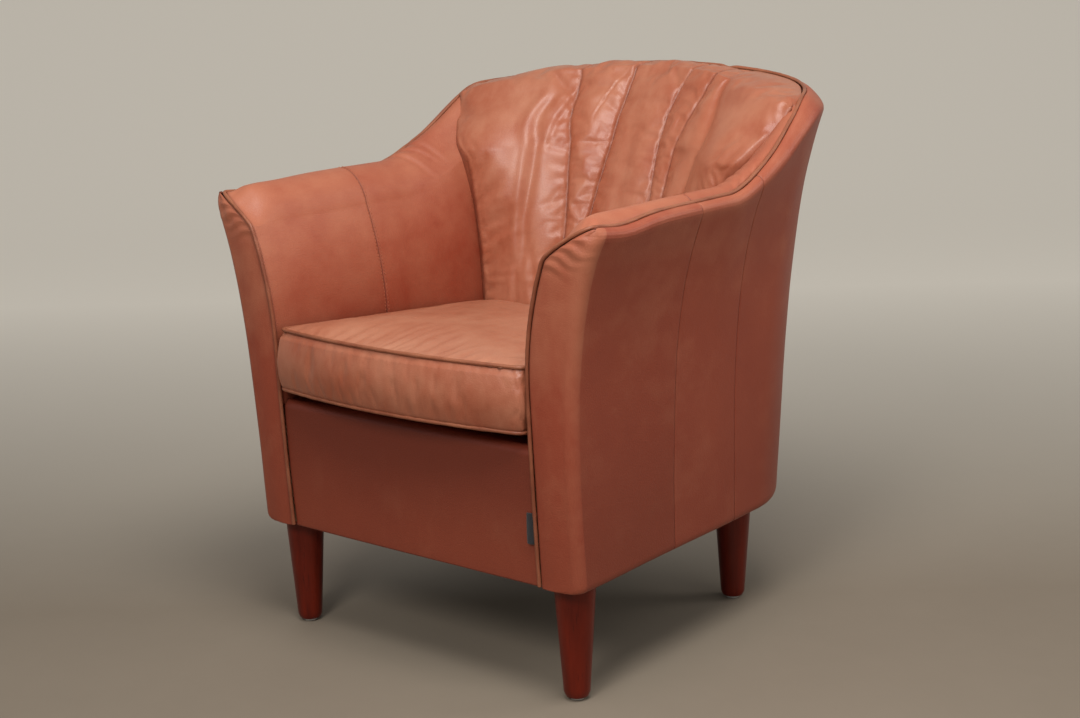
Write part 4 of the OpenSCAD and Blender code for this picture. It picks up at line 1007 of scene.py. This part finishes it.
# ---- back cushion
fan = {
    "foot": 318, "rise": 429, "topIn": 68, "edgeDrop": 43, "lean": 167, "edgeIn": 9, "topBulge": 2, "lip": 9,
    "channel": 6.5, "panels": [0.95, 0.8, 1, 0.6, 0.6, 0.9], "columns": 164, "rows": 112, "layers": 4,
    "turn": 0.12, "corner": {"out": 24, "ahead": 7, "up": 3}, "span": ([0, 0.6, 1.12], [212, 250, 300]),
    # lines across the face: places (height share, cross share), depth and half width in millimetres, kind
    "lines": {
        "pucker": ([(0.05, -0.34), (0.5, -0.37), (0.68, -0.40), (0.92, -0.42), (1.12, -0.43)], 2.0, 3.0, "sewn"),
        "crease": ([(0.05, -0.25), (0.48, -0.20), (0.68, -0.16), (0.88, -0.13), (1.12, -0.11)], 4.4, 1.9, "sewn"),
        "welt": ([(0.05, 0.27), (0.6, 0.28), (0.72, 0.24), (0.85, 0.205), (0.93, 0.23), (1.12, 0.31)],
                 3.4, 1.8, "sewn"),
        "light": ([(0.05, 0.42), (0.65, 0.40), (0.84, 0.385), (0.92, 0.42), (1.12, 0.47)], 1.6, 2.0, "sewn"),
        "valley": ([(0.05, 0.66), (0.62, 0.61), (0.78, 0.64), (0.93, 0.56), (1.12, 0.52)], 4.0, 13.0, "soft"),
    },
    # loose folds: places, depth and half width
    "folds": {
        "thin": ([(0.83, -0.265), (0.93, -0.21), (0.99, -0.15)], 0.9, 1.8),
        "leftTop": ([(0.74, -0.53), (0.89, -0.43), (0.96, -0.38)], 1.3, 5.0),
        "leftLong": ([(0.34, -0.64), (0.5, -0.655), (0.6, -0.63), (0.85, -0.57), (0.93, -0.52)], 3.4, 9.0),
        "leftFoot": ([(0.12, -0.5), (0.3, -0.56), (0.42, -0.6)], 1.8, 7.0),
        "leftFootLow": ([(0.1, -0.74), (0.22, -0.7), (0.36, -0.7)], 1.6, 6.0),
        "middle": ([(0.3, 0.02), (0.6, 0.05), (0.8, 0.02)], 1.2, 11.0),
    },
}
fanLines = list(fan["lines"].values())


def fanShares(u, v):  # a runs across from -1 to 1, b up to 1 at the top edge and on over it
    return u * 2 - 1, v * (1 + fan["turn"])


def edgeStation(b):
    return 1.15 + 0.18 * ease((b - 0.78) / 0.22)


def edgeAt(b, lift):
    t = edgeStation(b)
    q = nearer(0.995, shareAt(t, fan["foot"] + b * (fan["rise"] - fan["edgeDrop"])))
    return *plan(t, q, innerIn(t, q) + lift), levelZ(t, q)


def lineShare(points, b):
    return np.interp(b, *zip(*points))


def channels(a, b, power=0.85):
    edges = [np.full_like(b, -1.0), *(lineShare(line[0], b) for line in fanLines), np.full_like(b, 1.0)]
    total = np.zeros_like(a)
    for low, high, depth in zip(edges, edges[1:], fan["panels"]):
        share = clamp((a - low) / (high - low))
        total = np.where((a >= low) & (a <= high), depth * positive(np.sin(math.pi * share)) ** power, total)
    return total


def fanFace(a, b):
    c, over, m, side = nearer(b, 1), clamp((b - 1) / fan["turn"]), np.abs(a), np.sign(a)
    ex, ey, ez = edgeAt(c, fan["edgeIn"])
    yc = backY(1) - fan["topIn"] - fan["lean"] * (1 - c ** 1.7)
    zc = fan["foot"] + c * fan["rise"]
    bump = fan["channel"] * channels(a, b) * ease((c - 0.1) / 0.2) * np.where(c > 0.9, 1 - 4 * (c - 0.9), 1)
    full = ease((m - 0.78) / 0.22) * bell((b - 0.95) / 0.1)  # full corners over the arms
    out, ahead, up = (fan["corner"][k] * full for k in ("out", "ahead", "up"))
    lip = fan["lip"] * ease((m - 0.6) / 0.3) * np.sqrt(1 - clamp((m - 0.93) / 0.07) ** 2) * ease((b - 0.25) / 0.35)
    x = a * ex + side * out - side * lip * 0.45
    y = ey + (yc - ey) * (1 - m ** 1.5) - bump - ahead - lip * 0.8
    z = zc - (zc - ez) * m ** 2.5 + bump * c * 0.3 + up + lip * 0.25
    t = mix(3.0, edgeStation(np.ones_like(b)), m)
    kx, ky = plan(t, np.ones_like(t), endIn + tub["gap"])
    kx = np.where(a < 0, -kx, kx) + side * out * 0.6
    return mix(x, kx, over), mix(y, ky, over), mix(z, rimZ(t), over) + fan["topBulge"] * np.sin(math.pi * over)


def fanRear(a, b):
    roll = tub["rollShare"]
    t = mix(3.0, edgeStation(nearer(b, 1)) + 0.012, np.abs(a))
    q = np.where(b <= 1, mix(shareAt(t, fan["foot"]), roll, b), mix(roll, 0.985, (b - 1) / fan["turn"]))
    x, y = plan(t, q, innerIn(t, q) + 1.0)
    return np.where(a < 0, -x, x), y, levelZ(t, q)


def fanPlace(u, v, w):
    a, b = fanShares(u, v)
    return metres(*(mix(r, f, w) for f, r in zip(fanFace(a, b), fanRear(a, b))))


fanPiece, u, v, w = boxPiece("back_cushion", fan["columns"], fan["rows"], fan["layers"], fanPlace)
a, b = fanShares(u, v)
border = (np.abs(a) > 0.985) | (b < 0.02) | (b > 1.1)
toSewn = np.min([np.abs(a - lineShare(line[0], b)) * 250 for line in fanLines if line[3] == "sewn"], axis=0)
sewn = np.where((w <= 0.99) | border | (toSewn < 2.6), 1.0, 0.0)
swell(fanPiece, sewn, 0.007, 18, uniform_pressure_force=3.0, shrink_min=-0.03, bending_stiffness=0.8)
u, v, w = refine(fanPiece, u, v, w)
a, b = fanShares(u, v)
face = ease((w - 0.8) / 0.19)
p = coordsOf(fanPiece) * 1000
halfSpan = np.interp(b, *fan["span"])
shape, marks = np.zeros(len(p)), np.zeros(len(p))
for points, depth, reach, kind in fanLines:
    away = np.abs(a - lineShare(points, b)) * halfSpan
    fade = ease((b - 0.06) / 0.16) * (1 + 0.5 * ease((b - 0.96) / 0.1))
    shape -= depth * np.exp(-(away / reach) ** 1.4) * fade
    if kind == "sewn":
        # dark along the sewn lines: grime with painted shade in their creases
        marks += decay(away / 1.1) * fade
        puckers = gathers(b * 430, away, 12, 13, points[0][1] * 40) * 0.95
        shape += puckers * ease((b - 0.15) / 0.2) * (1 - bell(away / 2.5))
for points, depth, reach in fan["folds"].values():
    away = (a - lineShare(points, b)) * halfSpan
    fade = ease((b - points[0][0] + 0.04) / 0.1) * ease((points[-1][0] + 0.04 - b) / 0.1)
    shape -= depth * ridge(away, reach, -1.7, 0.6) * fade
tug = np.abs(a - lineShare(fanLines[0][0], b)) * halfSpan  # the long gathered seam left of the middle
shape += wave(np.stack([b * 430, tug * 0.25, np.zeros_like(a)], 1), 17) * 1.6 * decay(tug / 16) * ease((b - 0.1) / 0.2)
shape += wave(np.stack([a * 230 + b * 40, b * 110, np.full_like(a, 30)], 1), 44) * 1.5
shape += gathers(a * 260, positive(1.06 - b) * 430, 14, 20, 6.0) * 1.4
shape += gathers(b * 430, (1 - np.abs(a)) * 230, 15, 16, 2.5) * 1.6
shape += gathers(a * 240, clamp(b) * 430, 20, 34, 11.0) * 1.5
push(fanPiece, shape * face * (1 - clamp((b - 1.0) / fan["turn"]) * 0.6))
# grime with painted crevice shade along the sewn lines and the side edges; lighter on the channel crowns
paint(fanPiece, seam=marks * face + decay((1 - np.abs(a)) * 230 / 2.5) * 0.6,
      wear=0.22 + channels(a, b, 1.0) * 0.25 + wave(p, 70) * 0.25)
settle(fanPiece, "cushion_leather", "back_cushion_cover", "back_cushion_fill", "back_pad")
print("back cushion ready")

# ---- seat cushion, in the seat's sloping plane
seat = {
    "halfWidth": 209, "front": -22, "bow": 24, "length": 416, "nose": 12, "tail": 44, "draw": 3, "bulge": 5,
    "foot": 17.3, "thick": 80, "crown": 15, "under": 13, "cordIn": 1.2, "noseWay": 0.08, "tailWay": 0.14,
    "columns": 110, "rows": 110, "layers": 16,
}
nose, tail = seat["nose"] / seat["length"], seat["tail"] / seat["length"]


def seatB(v):  # rows crowd into the round corners at both ends
    first, last = seat["noseWay"], seat["tailWay"]
    low = nose * (1 - np.cos(clamp(v / first) * math.pi / 2))
    high = 1 - tail * (1 - np.cos(clamp((1 - v) / last) * math.pi / 2))
    middle = mix(nose, 1 - tail, (v - first) / (1 - first - last))
    return np.where(v < first, low, np.where(v > 1 - last, high, middle))


def seatHalf(b, inset):
    f, r = clamp(1 - b / nose), clamp(1 - (1 - b) / tail)
    return (seat["halfWidth"] - inset - seat["draw"] * np.sin(math.pi * b) - seat["nose"] * (1 - np.sqrt(1 - f * f))
            - seat["tail"] * (1 - np.sqrt(1 - r * r)))


def seatPoint(a, b, w, inset=0.0):
    full = positive(1 - a * a) ** 0.7 * positive(1 - (2 * b - 1) ** 2) ** 0.6
    bulge = seat["bulge"] * np.sin(math.pi * w)
    sideBulge = bulge * (0.25 + 0.5 * decay(b * 30)) * ease((1 - b) / 0.15)
    x = a * (seatHalf(b, inset) + sideBulge)
    frontEdge = seat["front"] - seat["bow"] * (1 - a * a) + inset - bulge
    y = mix(frontEdge, seat["front"] + seat["length"] - inset, b)
    z = seat["foot"] + mix(-seat["under"] * full, seat["thick"] + seat["crown"] * full, w)
    c, s = math.cos(deckTilt), math.sin(deckTilt)
    return x, y * c + z * s, apron["deck"] + z * c - y * s


def seatPlace(u, v, w):
    return metres(*seatPoint(u * 2 - 1, seatB(v), w))


seatPiece, u, v, w = boxPiece("seat_cushion", seat["columns"], seat["rows"], seat["layers"], seatPlace)
rim = (np.abs(u * 2 - 1) > 0.999) | (v < 0.001) | (v > 0.999)
sewn = np.where(rim & ((w < 0.04) | (w > 0.96)), 1.0, np.where(~rim & (w < 0.5), 0.9, 0.0))
swell(seatPiece, sewn, 0.009, 20, uniform_pressure_force=4.0, shrink_min=-0.012, bending_stiffness=1.2)
u, v, w = refine(seatPiece, u, v, w)
a, b = u * 2 - 1, seatB(v)
p = coordsOf(seatPiece) * 1000
across, along = a * seat["halfWidth"], b * seat["length"]
toFront, toRear, toSide = along, (1 - b) * seat["length"], (1 - np.abs(a)) * seat["halfWidth"]
toRim = nearer(nearer(toFront, toRear), toSide)
toCord = nearer(w, 1 - w) * seat["thick"]
upper = ease((w - 0.9) / 0.08) * (toRim > 0.01)
onBorder = toRim < 0.5
fringe = gathers(across, toFront, 15, 16, 3.0) * 1.3 + gathers(along, toSide, 15, 16, 6.0) * 1.3
fringe += gathers(across + 60, toRear, 15, 16, 9.0) * 1.2
fine = wave(np.stack([a * 60, along, np.full_like(a, 3)], 1), 11) * 0.8 * ease((b - 0.35) / 0.4)
broad = wave(p, 120) * 1.4 + wave(p + 90, 48) * 0.5
borderFolds = gathers(across + along, toCord, 13, 10, 4.0) * 0.9
crease = bell(toRim / 2.2) * 1.6 * (w > 0.9) + bell(toCord / 2.2) * 1.6 * onBorder
onSide = ease(nearer(w, 1 - w) / 0.08) * onBorder
push(seatPiece, (fringe + broad + fine) * upper + (borderFolds + broad * 0.5) * onSide - crease)
# seam grime with painted shade beside the piping; the top face lighter, as wear and painted top light, with wear at
# the front edge; painted shade toward the bottom of the border
paint(seatPiece, seam=np.where(onBorder, decay(toCord / 1.6), decay(toRim / 1.6)),
      wear=upper * 0.44 + decay(toFront / 50) * 0.15 + 0.16 + wave(p, 80) * 0.25,
      dim=0.35 * (1 - ease((w - 0.05) / 0.6)))
settle(seatPiece, "cushion_leather", "seat_cushion_top", "seat_cushion_bottom", "seat_cushion_border",
       "seat_cushion_foam", body="seat_cushion")


def seatLoop(w):
    bends = 1 - np.cos(np.linspace(0, math.pi / 2, 9))
    front, rear = bends * nose, 1 - bends[::-1] * tail
    sides = np.concatenate([front, np.linspace(front[-1], rear[0], 60)[1:-1], rear])
    aa = np.concatenate([np.linspace(-1, 1, 80), np.ones(len(sides) - 1), np.linspace(1, -1, 80)[1:],
                         -np.ones(len(sides) - 2)])
    bb = np.concatenate([np.zeros(80), sides[1:], np.ones(79), sides[::-1][1:-1]])
    x, y, z = seatPoint(aa, bb, np.full_like(aa, w), seat["cordIn"])
    return relax(evenPath(metres(x, y, z), 0.003), 2, closed=True)


for name, w, nodes in (("foot", 0.0, ()), ("top", 1.0, ("seat_cushion_piping",))):
    cord = tubePiece("seat_piping_" + name, seatLoop(w), closed=True)
    p = coordsOf(cord) * 1000
    push(cord, wave(p, 9) * 0.3 + wave(p + 50, 24) * 0.35)
    paint(cord, wear=wave(p, 50) * 0.35 + 0.4)
    settle(cord, "piping_leather", *nodes, body="seat_cushion")
print("seat cushion ready")

# ---- turned legs and glides
leg = {"top": 54, "foot": 33, "height": 156.5, "glide": 4, "round": 2.2, "rings": 26, "step": 2,
       "glideFoot": 0.82, "places": {"front": (238, 42), "back": (206, 456)}}


def legSpots():
    for end, (x, y) in leg["places"].items():
        for name, side in (("left", -1), ("right", 1)):
            yield f"leg_{end}_{name}", side * x, y


def turnedLeg(node, x, y):
    glide, step = leg["glide"], leg["step"]
    bpy.ops.mesh.primitive_cylinder_add(vertices=64, radius=leg["foot"] / 2000, depth=step / 1000,
                                        location=spot(x, y, glide + step / 2))
    piece = named("turned_" + node)
    bpy.ops.object.transform_apply(location=True, rotation=True, scale=True)
    heights = np.linspace(glide, leg["height"], leg["rings"])
    bpy.ops.object.mode_set(mode="EDIT")
    bpy.ops.mesh.select_all(action="DESELECT")
    bpy.ops.mesh.select_mode(type="FACE")
    bpy.ops.object.mode_set(mode="OBJECT")
    for face in piece.data.polygons:
        face.select = face.normal.z > 0.9
    bpy.ops.object.mode_set(mode="EDIT")
    for ring in heights[2:]:
        bpy.ops.mesh.extrude_region_move(TRANSFORM_OT_translate={"value": (0, 0, step / 1000)})
    bpy.ops.object.mode_set(mode="OBJECT")
    co, centre = coordsOf(piece), np.array(spot(x, y, 0)[:2])
    rung = np.clip(np.round((co[:, 2] * 1000 - glide) / step).astype(int), 0, len(heights) - 1)
    z = heights[rung]
    radius = mix(leg["foot"], leg["top"], (z - glide) / (leg["height"] - glide)) / 2
    radius = radius - leg["round"] * decay((z - glide) / 1.4) * (rung < 2)
    out = co[:, :2] - centre
    length = np.linalg.norm(out, axis=1)[:, None]
    out = np.where(length > 1e-6, out / np.maximum(length, 1e-9), 0)
    co[:, :2] = centre + out * (radius * 0.001)[:, None]
    co[:, 2] = z * 0.001
    setCoords(piece, co)
    softEdges(piece, 0.0012, 50)
    settle(piece, "leg_wood", node, smooth=False)
    bpy.ops.object.shade_smooth_by_angle(angle=math.radians(35))


def glideSet():
    discs = []
    for node, x, y in legSpots():
        bpy.ops.mesh.primitive_cylinder_add(vertices=48, radius=0.011, depth=leg["glide"] / 1000,
                                            location=spot(x, y, leg["glide"] / 2))
        discs.append(bpy.context.object)
    piece = joined("nylon_glides", discs)
    co = coordsOf(piece)
    for node, x, y in legSpots():
        centre = np.array(spot(x, y, 0)[:2])
        mine = (np.linalg.norm(co[:, :2] - centre, axis=1) < 0.02) & (co[:, 2] < 0.001)
        co[mine, :2] = centre + (co[mine, :2] - centre) * leg["glideFoot"]
    setCoords(piece, co)
    softEdges(piece, 0.0009, 40)
    settle(piece, "glide_plastic", "glides", smooth=False)
    bpy.ops.object.shade_smooth_by_angle(angle=math.radians(35))


for row in legSpots():
    turnedLeg(*row)
glideSet()
print("legs ready")

# ---- bare folded tag in the front seam
tag = {"width": 10, "height": 40, "low": 212, "thick": 1.1, "curl": 1.6}
tagShare = np.array((tag["low"] + tag["height"] / 2 - tub["base"]) / armRise)
tagX = float(halfWidth(tagShare) - faceIn(tagShare)) - tub["cord"] - 0.2
tagY = float(frontY(tagShare))


def tagPlace(u, v, w):
    curl = tag["curl"] * np.sin(math.pi * u * 0.8) + 0.5 * np.sin(math.pi * v)
    y = tagY + tag["thick"] * (1 - w) * (0.7 + 0.3 * np.cos(math.pi * u)) - curl
    return metres(tagX - tag["width"] * u, y, tag["low"] + tag["height"] * v)


settle(boxPiece("seam_tag_cloth", 20, 40, 2, tagPlace)[0], "tag_cloth", "seam_tag")

# ---- staples that hold the cloth under the body
staple = {"size": (0.011, 0.0009, 0.0004), "inset": 20.0, "proud": 1.6}


def bottomStaples():
    t = np.concatenate([np.linspace(0.08, 0.95, 11), np.linspace(1.05, 1.95, 13), np.linspace(2.1, 3, 6)])
    t = np.concatenate([t, 6 - t[:-1][::-1]])
    x, y = plan(t, np.zeros_like(t), staple["inset"])
    nextX, nextY = plan(t + 0.01, np.zeros_like(t), staple["inset"])
    made = []
    for px, py, angle in zip(x, y, np.arctan2(nextY - y, nextX - x)):
        bpy.ops.mesh.primitive_cube_add(size=1, location=spot(px, py, tub["base"] + staple["proud"]),
                                        rotation=(0, 0, float(angle)), scale=staple["size"])
        made.append(bpy.context.object)
    piece = joined("bottom_staples", made)
    useModifier(piece, "soft edges", "BEVEL", width=0.00012, segments=1)
    settle(piece, "zinc_steel", smooth=False)


bottomStaples()
print("small parts ready")

# ---- stage with painted light on its far sweep, and studio light
# wall is a paler tone and glow a painted glow, both standing in for the light on the far sweep
stage = {
    "near": 0.0, "far": 2.3, "floor": (0.262, 0.212, 0.158), "floorDark": (0.235, 0.19, 0.141),
    "wall": (0.44, 0.405, 0.345), "glow": (0.33, 0.305, 0.265), "size": 14, "ahead": 5, "flat": 3.2, "bend": 1.4,
}


def sweepPlace(u, v):
    flat, bend = stage["flat"], stage["bend"]
    side, run = (u - 0.5) * stage["size"], v * stage["size"] - stage["ahead"]
    turn = np.clip((run - flat) / bend, 0, math.pi / 2)
    y = np.where(run < flat, run, flat + bend * np.sin(turn))
    z = np.where(run < flat, 0, bend * (1 - np.cos(turn)) + positive(run - flat - bend * math.pi / 2))
    c, s = math.cos(azimuth), math.sin(azimuth)
    return [np.stack([side * c - y * s, side * s + y * c, z], 1)]


def stageMaterial():
    material, shader, place = startMaterial("stageWithPaintedGlow")
    ahead = place.make("ShaderNodeVectorMath", {"operation": "DOT_PRODUCT"},
                       {0: place, 1: (-math.sin(azimuth), math.cos(azimuth), 0)}, output=1)
    height = place.make("ShaderNodeSeparateXYZ", None, {0: place}, output=2)
    # painted light: the sweep turns paler with distance and height and glows there for the camera and in reflections
    far = (ahead + height * 1.5).ramp(stage["near"], stage["far"])
    blotch = (place.noise(1.3, 4, 0.6) * 0.8 + place.noise(26, 5, 0.6) * 0.2).ramp(0.3, 0.7)
    seen, mirrorSeen = (place.make("ShaderNodeLightPath", output=f"Is {kind} Ray") for kind in ("Camera", "Glossy"))
    fill(shader, {"Base Color": far.blend(blotch.blend(stage["floorDark"], stage["floor"]), stage["wall"]),
                  "Emission Color": (far * (seen + mirrorSeen)).blend((0, 0, 0), stage["glow"])},
         {"Emission Strength": 1.0, "Roughness": 0.75})
    return material


sweep = gridPiece("studio_sweep", 4, 60, sweepPlace)[0]
sweep.data.materials.append(stageMaterial())
for face in sweep.data.polygons:
    face.use_smooth = True

lamps = {  # place, aim, size in metres, power in watts
    "topLamp": ((0.7, -0.7, 2.1), (0, 0, 0.4), 1.0, 26), "frontLamp": ((0.6, -2.1, 1.8), (0, 0, 0.45), 0.75, 22),
    "rearLamp": ((1.9, 1.7, 1.8), (0, 0.1, 0.5), 1.2, 11), "sideLamp": ((2.7, -0.2, 1.1), (0, 0, 0.45), 1.6, 7),
}
for name, (place, aim, size, power) in lamps.items():
    data = bpy.data.lights.new(name, "AREA")
    data.shape, data.size, data.energy, data.color = "DISK", size, power, (1.0, 0.985, 0.96)
    lamp = linked(name, data)
    lamp.location = place
    lamp.rotation_euler = (Vector(aim) - Vector(place)).to_track_quat("-Z", "Y").to_euler()
world = bpy.data.worlds.new("studioWorld")
scene.world = world
world.use_nodes = True
sky = world.node_tree.nodes["Background"].inputs
sky["Color"].default_value, sky["Strength"].default_value = (0.92, 0.93, 0.95, 1), 0.29
scene.view_settings.view_transform = "Standard"
print("stage ready")
